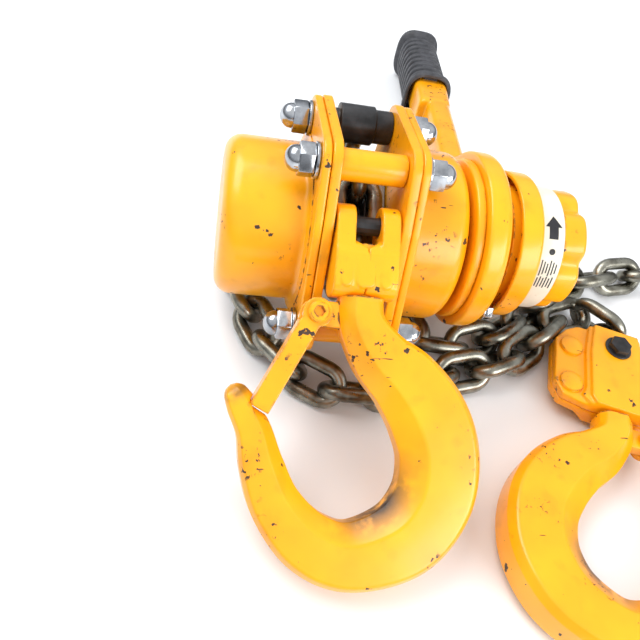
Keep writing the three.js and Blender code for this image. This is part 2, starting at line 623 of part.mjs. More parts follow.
// The bottom block: two pressed halves around the chain bolt and the hook's head.
const BLOCK_HALF_WIDTH = 32.5;
const BLOCK_TOP = -13;
const BLOCK_BOTTOM = 40;
const BLOCK_FLANGE = 5;
const BLOCK_FACE = 9.6;
const RIVETS = [[24, 4.5], [24, 29], [-24, 4.5], [-24, 29]];
// Right half of an outline, top to bottom, with its mirror image.
const mirrored = (half) => polygon([...half, ...half.slice().reverse().map(([u, w]) => [-u, w])]);

// One stamped half of the bottom block: a riveted flange and a raised boss over the hook's head.
function bottomYoke(side) {
  const flange = mirrored([[20, BLOCK_TOP + 1], [27, BLOCK_TOP + 6], [BLOCK_HALF_WIDTH, 1],
    [BLOCK_HALF_WIDTH, 30], [28, 37.5], [14, BLOCK_BOTTOM]]);
  const foot = mirrored([[14.5, BLOCK_TOP], [16.6, 6], [16.6, 31], [18.5, 36], [14, BLOCK_BOTTOM]]);
  const crown = mirrored([[12.5, BLOCK_TOP], [14.6, 6], [14.6, 30], [14.6, 36], [12, BLOCK_BOTTOM]]);
  const span = (a, b) => (side < 0 ? [-b, -a] : [a, b]);
  const body = join(prism(flange, ...span(GAP / 2, BLOCK_FLANGE), BOTTOM_FRAME),
    prism(foot, ...span(BLOCK_FLANGE - 1, 7.4), BOTTOM_FRAME),
    prism(crown, ...span(7, BLOCK_FACE), BOTTOM_FRAME));
  const m = alongW(BOTTOM_FRAME, 0, BOTTOM_HOOK_SHIFT);
  const mouth = block([26, 24, 9.4], [0, BLOCK_TOP + 9, 0], BOTTOM_FRAME);
  const slot = block([9.4, 24, 12.2], [0, BLOCK_TOP + 9, 0], BOTTOM_FRAME);
  const holes = [[0, 0, 3.3], ...RIVETS.map(([u, w]) => [u, w, 3.3])].map(([u, w, r]) => (
    turned([[-20, 0], [-20, r], [20, r], [20, 0]], 10, alongN(BOTTOM_FRAME, u, w))));
  return cut(body, mouth, slot,
    turned([[8.6, 0], [8.6, HEAD_R + GAP], [20.4, HEAD_R + GAP], [20.4, NECK_R + GAP],
      [34, NECK_R + GAP], [34, 0]], 16, m), ...holes);
}

function rivet([u, w]) {
  const seat = BLOCK_FLANGE + 0.15;
  return turned([[-seat - 2.4, 0], [-seat - 2.3, 3], [-seat - 1.6, 5.6], [-seat, 6.4], [-seat, 3],
    [seat, 3], [seat, 6.4], [seat + 1.6, 5.6], [seat + 2.3, 3], [seat + 2.4, 0]], 10,
  alongN(BOTTOM_FRAME, u, w));
}

function chainBolt() {
  const hex = polygon([0, 1, 2, 3, 4, 5].map((k) => polar(6, 60 * k)));
  const m = BOTTOM_FRAME;
  return join(prism(hex, 9.9, 14, m),
    turned([[-11, 0], [-11, 3], [10.2, 3], [10.2, 0]], 10, alongN(m)));
}

// ---------- the chain on the floor ----------
// Each strand is the plain envelope of its links. Points are [x, y, height above the floor].
const STRAND_R = 7.6;
const LYING = STRAND_R + 0.2;
// From under the sheave, back under the gear cover, round the front to the bottom block.
const LOAD_ROUTE = [
  [0, 28, 14], [-3, 42, 9], [-14, 55, LYING], [-31, 56, LYING], [-43, 43, LYING], [-46, 22, LYING],
  [-44, 0, LYING], [-38, -22, LYING], [-27, -42, LYING], [-10, -57, LYING], [12, -64, LYING],
  [36, -58, LYING], [58, -50.5, LYING], [82, -44, LYING], [103, -33.5, LYING], [121, -19, LYING],
  [136, -7, LYING], [150, -2, 9], [161.5, -7, 11.5], [161.8, -18, 12.6],
];
// From the top of the sheave down behind the hoist, under the brake cover and off to the right.
const TAIL_ROUTE = [
  [0, 45, 77], [0, 56, 68], [2, 63, 48], [4, 66, 26], [9, 68, 12], [21, 68, LYING], [36, 60, LYING],
  [43, 44, LYING], [43, 20, LYING], [41.5, -4, LYING], [44, -24, LYING], [60, -31, LYING],
  [84, -25.5, LYING], [106, -11, LYING], [127, 7, LYING], [148, 21, LYING], [170, 29, LYING],
  [192, 34, LYING], [212, 38, LYING],
];

function strand(route) {
  const curve = new THREE.CatmullRomCurve3(
    route.map(([x, y, height]) => new THREE.Vector3(x, y, height - AXIS_HEIGHT)));
  const section = polygon([0, 1, 2, 3, 4, 5].map((k) => polar(STRAND_R, 60 * k)));
  return solid(new THREE.ExtrudeGeometry(section,
    { steps: 2 * route.length, extrudePath: curve, curveSegments: 1 }));
}

// ---------- the assembly ----------
const hoist = new THREE.Group();
hoist.position.z = AXIS_HEIGHT;

function add(name, shape, finish) {
  const mesh = shape.getMesh();
  const g = new THREE.BufferGeometry();
  g.setAttribute('position', new THREE.BufferAttribute(new Float32Array(mesh.vertProperties), 3));
  g.setIndex(new THREE.BufferAttribute(new Uint32Array(mesh.triVerts), 1));
  g.computeVertexNormals();
  const m = new THREE.Mesh(g, new THREE.MeshStandardMaterial(finish));
  m.name = name;
  hoist.add(m);
}

add('gear_cover', cover(-1, GEAR_COVER_R, GEAR_COVER_END, 7, 0), YELLOW);
add('gear_side_plate', framePlate(-1), YELLOW);
add('brake_side_plate', framePlate(1), YELLOW);
add('brake_cover', brakeCover(), YELLOW);
const STAYS = { back: BACK_BOLT, front: FRONT_BOLT, lower: LOWER_BOLT };
for (const [place, at] of Object.entries(STAYS)) {
  add(`stay_bolt_${place}`, stayBolt(at), ZINC);
  add(`cap_nut_${place}_gear`, capNut(-1, at), ZINC);
  add(`cap_nut_${place}_brake`, capNut(1, at), ZINC);
}
add('guide_roller', guideRoller(), BLACK_STEEL);
add('front_stay_tube', stayTube(6.6, FRONT_BOLT), YELLOW);
add('lower_stay_tube', stayTube(6.6, LOWER_BOLT), YELLOW);
add('chain_guide', chainGuide(), STEEL);
add('top_pin', rod(TOP_PIN_R, -PLATE_OUT, PLATE_OUT, TOP_PIN), STEEL);

add('load_sheave', loadSheave(), STEEL);
add('load_gear', gear(WHEEL_TEETH, ...SECOND_GEARS, GEAR_LINE_DEG + 180 / WHEEL_TEETH, [0, 0], 9.4), STEEL);
add('wrapped_chain', wrappedChain(), CHAIN_STEEL);
add('pinion_shaft', pinionShaft(), STEEL);
add('reduction_gear_upper', reductionGear(GEAR_LINE_DEG), STEEL);
add('reduction_gear_lower', reductionGear(GEAR_LINE_DEG + 180), STEEL);

add('brake_hub', tube(22, SHAFT_R + GAP, 24.6, 28.3, [0, 0], 24), STEEL);
add('friction_disc_inner', tube(22, 13.4, 28.6, 31.3, [0, 0], 24), FRICTION);
add('ratchet_disc', ratchetDisc(), STEEL);
add('friction_disc_outer', tube(22, 13.4, 36.5, 39.2, [0, 0], 24), FRICTION);
add('brake_pawl_upper', brakePawl(150), STEEL);
add('brake_pawl_lower', brakePawl(330), STEEL);
const changeGearR = GEAR_MODULE * WHEEL_TEETH / 2;
const changeBody = turned([
  [39.5, SHAFT_R + GAP], [39.5, 22], [43, 22], [43, 13], [51, 13], [51, 12], [67, 12], [67, SHAFT_R + GAP],
  [39.5, SHAFT_R + GAP],
], 20);
add('change_gear', join(changeBody, gear(WHEEL_TEETH, 56, 63, 0, [0, 0], changeGearR - 3)), STEEL);

add('lever', leverHousing(), YELLOW);
add('lever_outer_shell', leverOuterShell(), YELLOW);
add('grip', grip(), BLACK_RUBBER);
add('selector', selector(), BLACK_STEEL);
[200, 40, 320].forEach((deg, i) => {
  add(`lever_bolt_${i + 1}`, hexBolt(polar(36.4, deg), HUB_OUT + GAP, HUB_OUT + 4.3, 4, 8), ZINC);
});
add('handwheel_skirt', handwheelSkirt(), YELLOW);
add('knob', knob(), YELLOW);
add('label_band', labelBand(), LABEL);
add('shaft_nut', shaftNut(), ZINC);

add('top_yoke_gear_half', topYoke(-1), YELLOW);
add('top_yoke_brake_half', topYoke(1), YELLOW);
add('top_hook', hookBody(TOP_FRAME, 0), YELLOW);
add('top_latch', latch(TOP_FRAME, 0), YELLOW);
add('top_latch_pin', latchPin(TOP_FRAME, 0), YELLOW);

add('bottom_yoke_upper', bottomYoke(1), YELLOW);
add('bottom_yoke_lower', bottomYoke(-1), YELLOW);
RIVETS.forEach((at, i) => add(`bottom_rivet_${i + 1}`, rivet(at), YELLOW));
add('chain_bolt', chainBolt(), BLACK_STEEL);
add('bottom_hook', hookBody(BOTTOM_FRAME, BOTTOM_HOOK_SHIFT), YELLOW);
add('bottom_latch', latch(BOTTOM_FRAME, BOTTOM_HOOK_SHIFT), YELLOW);
add('bottom_latch_pin', latchPin(BOTTOM_FRAME, BOTTOM_HOOK_SHIFT), YELLOW);

add('chain_load_strand', strand(LOAD_ROUTE), CHAIN_STEEL);
add('chain_tail_strand', strand(TAIL_ROUTE), CHAIN_STEEL);

// The origin is under the middle of the whole part's box, on the floor.
const part = new THREE.Group();
part.add(hoist);
const whole = new THREE.Box3().setFromObject(part, true);
const middle = whole.getCenter(new THREE.Vector3());
part.position.set(-middle.x, -middle.y, -whole.min.z);

export default part;
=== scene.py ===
# %% [markdown]
# # Lever chain hoist: the looks
#
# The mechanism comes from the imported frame. This file builds the detailed surfaces around it: turned
# covers, forged hooks, a link chain, plated nuts, a ribbed grip and worn yellow paint. Shapes are written
# in millimetres in the hoist's own frame: its origin is on the sheave axis, midway between the frame
# plates, +X runs to the handwheel, +Y to the lever's grip and +Z up.

# %% Load the frame
import math

import bpy
import numpy as np
from mathutils import Matrix, Vector


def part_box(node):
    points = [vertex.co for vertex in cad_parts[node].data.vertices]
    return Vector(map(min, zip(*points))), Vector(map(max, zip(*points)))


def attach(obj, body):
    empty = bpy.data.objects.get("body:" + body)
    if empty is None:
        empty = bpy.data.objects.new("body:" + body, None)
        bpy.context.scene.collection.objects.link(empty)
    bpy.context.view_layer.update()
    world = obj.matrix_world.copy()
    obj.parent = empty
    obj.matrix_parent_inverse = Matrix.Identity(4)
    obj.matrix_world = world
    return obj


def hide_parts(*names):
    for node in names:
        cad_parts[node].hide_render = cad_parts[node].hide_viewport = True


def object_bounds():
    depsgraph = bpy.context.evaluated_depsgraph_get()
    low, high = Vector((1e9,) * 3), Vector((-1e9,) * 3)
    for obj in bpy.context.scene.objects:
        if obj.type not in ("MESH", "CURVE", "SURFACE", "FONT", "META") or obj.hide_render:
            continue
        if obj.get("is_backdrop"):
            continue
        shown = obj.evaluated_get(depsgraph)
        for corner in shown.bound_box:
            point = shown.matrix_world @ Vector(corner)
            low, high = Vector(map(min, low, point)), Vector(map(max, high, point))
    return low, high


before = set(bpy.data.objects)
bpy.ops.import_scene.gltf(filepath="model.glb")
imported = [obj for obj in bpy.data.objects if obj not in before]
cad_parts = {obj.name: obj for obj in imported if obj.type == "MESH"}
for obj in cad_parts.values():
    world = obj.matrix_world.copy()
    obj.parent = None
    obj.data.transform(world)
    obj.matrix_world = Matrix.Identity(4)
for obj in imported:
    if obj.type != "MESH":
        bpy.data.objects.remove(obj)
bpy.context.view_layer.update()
MM = 0.001
plate_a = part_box("gear_side_plate")
plate_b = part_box("brake_side_plate")
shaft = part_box("pinion_shaft")
ORIGIN = Vector((
    (plate_a[0].x + plate_b[1].x) / 2,
    (shaft[0].y + shaft[1].y) / 2,
    (shaft[0].z + shaft[1].z) / 2,
))

# %% [markdown]
# ## Driving dimensions
# They repeat the frame's own, so that each detailed piece covers the plain one it stands for.

# %% Dimensions
WIRE = 7.1  # chain wire
PITCH = 21.0
LINK_WIDTH = 3.3 * WIRE
WRAP_R = 25.5  # middle of the links on the sheave
PLATE_IN, PLATE_OUT, FLANGE_IN, FLANGE_OUT = 14.5, 18.8, 19.1, 22.8
GEAR_COVER_R, GEAR_COVER_END = 37.2, -60.0
BRAKE_COVER_R, BRAKE_COVER_END = 41.0, 50.0
WALL = 1.8
BACK_BOLT, FRONT_BOLT, LOWER_BOLT = (24, 41.8), (-14.9, 48.9), (-49.8, -16.6)
TOP_PIN = (-31.5, 31)
NUT_SEAT = 23.1
NUT_AF = 13.0
NUT_WASHER, NUT_WASHER_R, NUT_DOME_R = 1.5, 7.9, 5.6
HUB_R, HUB_IN, HUB_OUT, HUB_SPLIT = 43.2, 52.5, 69.0, 56.6
INNER_DISC_R = HUB_R - 4
LEVER_BOLT_CIRCLE, LEVER_BOLT_ANGLES = 36.4, (200, 40, 320)
LEVER_DROP, LEVER_YAW, LEVER_LENGTH, GRIP_LENGTH = 9.0, 5.6, 248.0, 84.0
ARM_X = (HUB_IN + HUB_OUT) / 2 - 1
RING_R, RING_IN, RING_OUT = 36.0, 76.0, 87.5
SLEEVE_R, SLEEVE_IN = 29.7, 74.5
KNOB_R, BAND_IN, BAND_OUT, KNOB_OUT = 29.6, 88.5, 100.0, 113.0
LOBES, VALLEY = 6, 3.4
LABEL_BORE, LABEL_R, INK_R = 29.9, 30.75, 30.84
SELECTOR_AT = (24 * math.cos(math.radians(60)), 24 * math.sin(math.radians(60)))
HOOK_DROP = 33.8
BOTTOM_BOLT, BOTTOM_TURN, BOTTOM_Z, BOTTOM_SHIFT = (157, -34), 17.0, 12.6, 11.0
RIVETS = [(24, 4.5), (24, 29), (-24, 4.5), (-24, 29)]
LATCH_PIVOT, LATCH_TIP = (-18.5, 38.5), (-40, 81)
# The latch's seat on a hook's tip: its distance from the latch line, and its reach from the latch's end.
SEAT_OFF, SEAT_NEAR, SEAT_FAR = 5.4, 1.4, 16.4
YOKE_FACE, PAD_LOW, PAD_HIGH, PAD_HALF = 8.5, 13, 27.5, 1.2
# Middle line of a hook as (u, w, width in its plane, thickness).
HOOK_STATIONS = [
    (0, 33.2, 20, 20), (0.4, 40, 20, 20), (3.4, 47, 21, 20), (10.5, 56, 25, 20), (21.5, 65.5, 30, 21),
    (31.5, 79, 33.5, 22), (36.7, 94.5, 34, 22), (34.7, 112.5, 33.5, 22), (23, 128, 31.5, 22),
    (1.5, 135.5, 27, 21), (-16, 130.5, 24.5, 20), (-29.5, 117, 21, 18), (-36.7, 101.5, 18, 16),
    (-40.8, 88, 14.5, 14), (-46.6, 77.5, 12.5, 13), (-51.2, 70, 8, 9),
]
LINK_STEP = PITCH - 0.5  # the links' spacing along a route that bends
LEAN, LEAN_AFTER = 44, 5  # degrees that a lying link leans, reached after this many links
LYING = 9.2  # middle of a link that lies on the floor on two edges
LOAD_ROUTE = [
    (0, 12, 34.4), (0, 20, 24), (0, 28, 15), (-3, 42, 10), (-14, 55, LYING), (-31, 56, LYING),
    (-43, 43, LYING), (-46, 22, LYING), (-44, 0, LYING), (-38, -22, LYING), (-27, -42, LYING),
    (-10, -57, LYING), (12, -64, LYING), (36, -58, LYING), (58, -50.5, LYING), (82, -44, LYING),
    (103, -33.5, LYING), (121, -19, LYING), (136, -7, LYING), (150, -3, 10), (160.5, -8, 12),
    (161.8, -18, 12.6), (159.2, -26.8, 12.6),
]
TAIL_ROUTE = [
    (0, 22.6, 69), (0, 34, 75), (0, 45, 77), (0, 56, 68), (2, 63, 48), (4, 66, 26), (9, 68, 13),
    (21, 68, LYING), (36, 60, LYING), (43, 44, LYING), (43, 20, LYING), (41.5, -4, LYING),
    (44, -24, LYING), (60, -31, LYING), (84, -25.5, LYING), (106, -11, LYING), (127, 7, LYING),
    (148, 21, LYING), (170, 29, LYING), (192, 34, LYING), (208, 37.5, LYING),
]

# %% [markdown]
# ## Shape helpers
# Every shape is a pair of lists, points and faces, in millimetres, with its normals pointing out.

# %% Shapes


def polar(radius, degrees):
    a = math.radians(degrees)
    return radius * math.cos(a), radius * math.sin(a)


def rounded(points, radius, closed=True, steps=5):
    """A 2-D outline with each corner rounded by radius, or by its own where points has a third number."""
    out = []
    n = len(points)
    for i, p in enumerate(points):
        r = p[2] if len(p) > 2 else radius
        here = np.array(p[:2], float)
        if (not closed and i in (0, n - 1)) or r <= 0:
            out.append(tuple(here))
            continue
        a = np.array(points[i - 1][:2], float) - here
        b = np.array(points[(i + 1) % n][:2], float) - here
        la, lb = np.linalg.norm(a), np.linalg.norm(b)
        a, b = a / la, b / lb
        half = math.acos(max(-1, min(1, float(a @ b)))) / 2
        if half > math.radians(88):
            out.append(tuple(here))
            continue
        reach = min(r / math.tan(half), 0.49 * la, 0.49 * lb)
        r = reach * math.tan(half)
        middle = here + (a + b) / np.linalg.norm(a + b) * (r / math.sin(half))
        start, end = here + a * reach - middle, here + b * reach - middle
        t0, t1 = math.atan2(start[1], start[0]), math.atan2(end[1], end[0])
        turn = (t1 - t0 + math.pi) % (2 * math.pi) - math.pi
        for k in range(steps + 1):
            t = t0 + turn * k / steps
            out.append((middle[0] + r * math.cos(t), middle[1] + r * math.sin(t)))
    return out


def sweep(rings, closed_path=False, caps=True):
    """A skin through equal rings of points."""
    n = len(rings[0])
    points = [tuple(p) for ring in rings for p in ring]
    faces = []
    last = len(rings) if closed_path else len(rings) - 1
    for k in range(last):
        a, b = k * n, ((k + 1) % len(rings)) * n
        faces += [(a + i, a + (i + 1) % n, b + (i + 1) % n, b + i) for i in range(n)]
    if caps and not closed_path:
        faces.append(tuple(range(n))[::-1])
        faces.append(tuple((len(rings) - 1) * n + i for i in range(n)))
    return outward(points, faces)


def outward(points, faces):
    """The same faces, turned so that their normals point out."""
    p = np.array(points, float)
    volume = 0.0
    for f in faces:
        for i in range(1, len(f) - 1):
            volume += p[f[0]] @ np.cross(p[f[i]], p[f[i + 1]])
    return points, faces if volume > 0 else [tuple(reversed(f)) for f in faces]


def lathe(profile, at=(0, 0), segments=128, matrix=None):
    """A closed profile of (x, r) turned about the X axis, or about it after matrix."""
    rings = []
    for k in range(segments):
        c, s = polar(1, 360 * k / segments)
        rings.append([(x, at[0] + r * c, at[1] + r * s) for x, r in profile])
    points, faces = sweep(rings, closed_path=True)
    return moved((points, faces), matrix) if matrix else (points, faces)


def solid_lathe(profile, at=(0, 0), segments=64, matrix=None):
    """A profile of (x, r) from axis to axis turned about X."""
    turns = [2 * math.pi * k / segments for k in range(segments)]
    rings = [[(x, at[0] + r * math.cos(t), at[1] + r * math.sin(t)) for t in turns] for x, r in profile]
    points, faces = sweep(rings)
    return moved((points, faces), matrix) if matrix else (points, faces)


def moved(shape, matrix):
    points, faces = shape
    return outward([tuple(matrix @ Vector(p)) for p in points], faces)


def belt(discs, count=240):
    """Distance from the origin to a belt round some discs, at equal angles."""
    support = []
    for t in np.linspace(0, 2 * math.pi, 720, endpoint=False):
        c, s = math.cos(t), math.sin(t)
        support.append((c, s, max(y * c + z * s + r for y, z, r in discs)))
    out = []
    for k in range(count):
        c, s = polar(1, 360 * k / count)
        out.append(min(h / (a * c + b * s) for a, b, h in support if a * c + b * s > 1e-3))
    return out


def plate(radii, hole, x0, x1, bevel=0.8, other=None):
    """A plate with a round hole, its edge given as radii at equal angles.

    The rim is rounded by bevel at x0 and by other at x1.
    """
    n = len(radii)
    other = bevel if other is None else other
    rings = []
    for k in range(n):
        c, s = polar(1, 360 * k / n)
        r = radii[k]
        corner = rounded([(x0, hole, 0.3), (x0, r, bevel), (x1, r, other), (x1, hole, 0.3)], bevel, steps=6)
        rings.append([(x, q * c, q * s) for x, q in corner])
    return sweep(rings, closed_path=True)


def prism(outline, x0, x1, bevel, matrix=None):
    """A convex outline of (a, b) drawn along the first axis, with rounded rims."""
    mid = np.mean(np.array([p[:2] for p in outline]), axis=0)
    size = float(np.mean([np.linalg.norm(np.array(p[:2]) - mid) for p in outline]))
    rings = []
    for x, inset in [(x0, bevel), (x0 + 0.3 * bevel, 0.3 * bevel), (x0 + bevel, 0), (x1 - bevel, 0),
                     (x1 - 0.3 * bevel, 0.3 * bevel), (x1, bevel)]:
        f = 1 - inset / size
        rings.append([(x, mid[0] + (a - mid[0]) * f, mid[1] + (b - mid[1]) * f) for a, b in outline])
    points, faces = sweep(rings)
    return moved((points, faces), matrix) if matrix else (points, faces)


def catmull(points, count):
    """A smooth line through points of any dimension, sampled evenly in its own parameter."""
    p = np.array(points, float)
    p = np.vstack([2 * p[0] - p[1], p, 2 * p[-1] - p[-2]])
    out = []
    for t in np.linspace(0, len(points) - 1, count):
        i = min(int(t), len(points) - 2)
        f = t - i
        a, b, c, d = p[i:i + 4]
        square, cube = 2 * a - 5 * b + 4 * c - d, 3 * b - a - 3 * c + d
        out.append(0.5 * (2 * b + (c - a) * f + square * f * f + cube * f ** 3))
    return np.array(out)


# %% [markdown]
# ## Pieces
# `piece` turns shapes into one object on its body. `cast` also grows them into one softened skin, for forged
# and pressed parts.

# %% Pieces
scene = bpy.context.scene


def mesh_object(name, shapes, origin=ORIGIN):
    points, faces = [], []
    for p, f in shapes:
        n = len(points)
        points += [Vector(v) * MM + origin for v in p]
        faces += [tuple(i + n for i in face) for face in f]
    name = name.replace(" ", "-")
    mesh = bpy.data.meshes.new(name)
    mesh.from_pydata(points, [], faces)
    mesh.update()
    obj = bpy.data.objects.new(name, mesh)
    scene.collection.objects.link(obj)
    return obj


def finish_piece(obj, material, body, stands_for=(), angle=38):
    obj.data.materials.clear()
    obj.data.materials.append(material)
    obj.data.shade_smooth()
    obj.data.set_sharp_from_angle(angle=math.radians(angle))
    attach(obj, body)
    if stands_for:
        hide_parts(*stands_for)
    return obj


def piece(name, shapes, material, body, stands_for=(), angle=38):
    return finish_piece(mesh_object(name, shapes), material, body, stands_for, angle)


def baked(obj):
    """Swaps the object's modifiers for the mesh that they make."""
    bpy.context.view_layer.update()
    made = bpy.data.meshes.new_from_object(obj.evaluated_get(bpy.context.evaluated_depsgraph_get()))
    obj.modifiers.clear()
    old = obj.data
    obj.data = made
    bpy.data.meshes.remove(old)
    return obj


def node_shape(name):
    """A frame node's own solid, in millimetres."""
    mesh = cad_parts[name].data
    return [(v.co - ORIGIN) / MM for v in mesh.vertices], [tuple(p.vertices) for p in mesh.polygons]


def cast(name, shapes, material, body, stands_for, voxel=0.5, passes=6, angle=60):
    """Shapes grown into one skin by a remesh and softened, like a forging or a deep pressing."""
    obj = mesh_object(name, shapes)
    weld = obj.modifiers.new("weld", "WELD")
    weld.merge_threshold = 1e-6
    remesh = obj.modifiers.new("remesh", "REMESH")
    remesh.mode = "VOXEL"
    remesh.voxel_size = voxel * MM
    smooth = obj.modifiers.new("smooth", "SMOOTH")
    smooth.factor = 0.5
    smooth.iterations = passes
    return finish_piece(baked(obj), material, body, stands_for, angle)


# %% [markdown]
# ## Materials
# One helper adds a node with its settings and links. Patterns use Object coordinates, scaled to millimetres.

# %% Materials


def srgb(text):
    """A hex colour as linear RGBA."""
    v = [int(text[i:i + 2], 16) / 255 for i in (1, 3, 5)]
    return (*[c / 12.92 if c <= 0.04045 else ((c + 0.055) / 1.055) ** 2.4 for c in v], 1.0)


def add(tree, kind, links=(), **settings):
    """A node with its settings and links.

    Settings name its properties or inputs; links are (own input, other node, its output).
    """
    node = tree.nodes.new(kind)
    for key, value in settings.items():
        if hasattr(node, key):
            setattr(node, key, value)
        else:
            node.inputs[key.replace("_", " ")].default_value = value
    for own, other, output in links:
        tree.links.new(other.outputs[output], node.inputs[own])
    return node


def start(name, **surface):
    material = bpy.data.materials.new(name)
    material.use_nodes = True
    tree = material.node_tree
    shader = tree.nodes["Principled BSDF"]
    for key, value in surface.items():
        shader.inputs[key.replace("_", " ")].default_value = value
    return material, tree, shader


def spots(tree, place, per_mm, low, high, detail=3.0, scale=(1, 1, 1)):
    """0 to 1 blotches: noise of that many cells per mm, stretched between low and high."""
    mapped = add(tree, "ShaderNodeMapping", [("Vector", place, "Object")], Scale=scale)
    noise = add(tree, "ShaderNodeTexNoise", [("Vector", mapped, "Vector")],
                Scale=per_mm / MM, Detail=detail)
    return add(tree, "ShaderNodeMapRange", [("Value", noise, "Fac")], From_Min=low, From_Max=high)


def mix(tree, fac, a, b):
    """Colour a to colour b by fac; a and b are nodes or colours."""
    node = add(tree, "ShaderNodeMix", data_type="RGBA")
    tree.links.new(fac.outputs[0], node.inputs[0])
    # A colour mix takes its two colours at inputs 6 and 7 and gives the result at output 2.
    for index, value in ((6, a), (7, b)):
        if isinstance(value, tuple):
            node.inputs[index].default_value = value
            continue
        output = 2 if value.bl_idname == "ShaderNodeMix" else 0
        tree.links.new(value.outputs[output], node.inputs[index])
    return node


def math_node(tree, how, a, b=None, value=0.5, clamp=True):
    node = add(tree, "ShaderNodeMath", operation=how, use_clamp=clamp)
    tree.links.new(a.outputs[0], node.inputs[0])
    if b is not None:
        tree.links.new(b.outputs[0], node.inputs[1])
    else:
        node.inputs[1].default_value = value
    return node


def edges(tree, radius_mm, low, high):
    """1 on outer and inner edges: where the normal averaged over radius leaves the true one."""
    bevel = add(tree, "ShaderNodeBevel", samples=6, Radius=radius_mm * MM)
    geometry = add(tree, "ShaderNodeNewGeometry")
    dot = add(tree, "ShaderNodeVectorMath", [(0, bevel, "Normal"), (1, geometry, "Normal")],
              operation="DOT_PRODUCT")
    inverse = add(tree, "ShaderNodeMath", [(1, dot, "Value")], operation="SUBTRACT")
    inverse.inputs[0].default_value = 1.0
    return add(tree, "ShaderNodeMapRange", [("Value", inverse, 0)], From_Min=low, From_Max=high)


def yellow_paint(name, base="#fcb10e", deep="#f29c0a"):
    """Gloss paint over a cast surface, chipped to dark metal on its edges and where it rubs."""
    material, tree, shader = start(name, Roughness=0.3, Coat_Weight=0.2, Coat_Roughness=0.15,
                                   Specular_IOR_Level=0.4)
    place = add(tree, "ShaderNodeTexCoord")
    tone = mix(tree, spots(tree, place, 0.03, 0.3, 0.7), srgb(base), srgb(deep))
    dirt = spots(tree, place, 0.09, 0.58, 0.8, 6.0)
    tone = mix(tree, math_node(tree, "MULTIPLY", dirt, value=0.35), tone, srgb("#b9730f"))
    edge = edges(tree, 1.5, 0.015, 0.09)
    broken = spots(tree, place, 0.22, 0.47, 0.55, 6.0)
    chips = math_node(tree, "MULTIPLY", edge, broken)
    groups = math_node(tree, "MULTIPLY", spots(tree, place, 0.42, 0.615, 0.64, 5.0),
                       spots(tree, place, 0.03, 0.58, 0.64))
    flecks = math_node(tree, "MAXIMUM", spots(tree, place, 0.16, 0.69, 0.705, 7.0), groups)
    scratches = math_node(tree, "MULTIPLY", spots(tree, place, 0.5, 0.735, 0.75, 2.0, (0.12, 1, 0.5)),
                          spots(tree, place, 0.02, 0.5, 0.56))
    worn = add(tree, "ShaderNodeAttribute", attribute_name="wear")
    rubbed = add(tree, "ShaderNodeMath", [(0, worn, "Fac")], operation="MULTIPLY")
    tree.links.new(spots(tree, place, 0.12, 0.3, 0.52, 6.0).outputs[0], rubbed.inputs[1])
    bare = math_node(tree, "MAXIMUM", math_node(tree, "MAXIMUM", chips, flecks),
                     math_node(tree, "MAXIMUM", scratches, rubbed))
    metal = mix(tree, spots(tree, place, 0.4, 0.35, 0.65), srgb("#241a14"), srgb("#4a3422"))
    tree.links.new(mix(tree, bare, tone, metal).outputs[2], shader.inputs["Base Color"])
    rough = add(tree, "ShaderNodeMapRange", [("Value", bare, 0)], To_Min=0.3, To_Max=0.55)
    tree.links.new(rough.outputs[0], shader.inputs["Roughness"])
    grain = add(tree, "ShaderNodeTexNoise", [("Vector", place, "Object")], Scale=0.35 / MM, Detail=4.0)
    level = math_node(tree, "SUBTRACT", grain, bare, clamp=False)
    bump = add(tree, "ShaderNodeBump", [("Height", level, 0)], Strength=0.22, Distance=0.12 * MM)
    tree.links.new(bump.outputs["Normal"], shader.inputs["Normal"])
    return material


def plain_metal(name, light, dark, roughness, per_mm=0.12, bump=0.06, metallic=1.0, rust=0.0):
    material, tree, shader = start(name, Metallic=metallic, Roughness=roughness)
    place = add(tree, "ShaderNodeTexCoord")
    tone = mix(tree, spots(tree, place, per_mm, 0.35, 0.68, 5.0), srgb(light), srgb(dark))
    if rust:
        rusty = math_node(tree, "MULTIPLY", spots(tree, place, 0.2, 0.5, 0.66, 6.0), value=rust)
        tone = mix(tree, rusty, tone, srgb("#5a3a22"))
    tree.links.new(tone.outputs[2], shader.inputs["Base Color"])
    rough = spots(tree, place, 0.3, 0.2, 0.8, 4.0)
    spread = add(tree, "ShaderNodeMapRange", [("Value", rough, 0)],
                 To_Min=roughness * 0.7, To_Max=roughness * 1.4)
    tree.links.new(spread.outputs[0], shader.inputs["Roughness"])
    grain = add(tree, "ShaderNodeTexNoise", [("Vector", place, "Object")], Scale=0.8 / MM, Detail=3.0)
    relief = add(tree, "ShaderNodeBump", [("Height", grain, 0)], Strength=bump * 3, Distance=bump * MM)
    tree.links.new(relief.outputs["Normal"], shader.inputs["Normal"])
    return material


YELLOW = yellow_paint("yellow_paint")
ZINC = plain_metal("zinc_plate", "#c3c6ca", "#8f9399", 0.17, 0.15)
STEEL = plain_metal("machined_steel", "#a9a6a0", "#7d7972", 0.36)
CHAIN = plain_metal("chain_steel", "#a09e92", "#5b594f", 0.3, 0.1, 0.1, rust=0.15)
BLACK = plain_metal("black_oxide", "#3b3b3d", "#1d1d1e", 0.36, metallic=0.4)
LINING = plain_metal("friction_lining", "#4a372b", "#33251c", 0.85, metallic=0.0)
RUBBER = plain_metal("grip_rubber", "#46474c", "#2e2f33", 0.5, 0.2, 0.12, metallic=0.0)
BAND = plain_metal("label_film", "#ece8da", "#d9d3c0", 0.35, 0.05, 0.02, metallic=0.0)
INK = plain_metal("label_ink", "#17171a", "#242428", 0.5, metallic=0.0)

# %% [markdown]
# ## Covers and frame

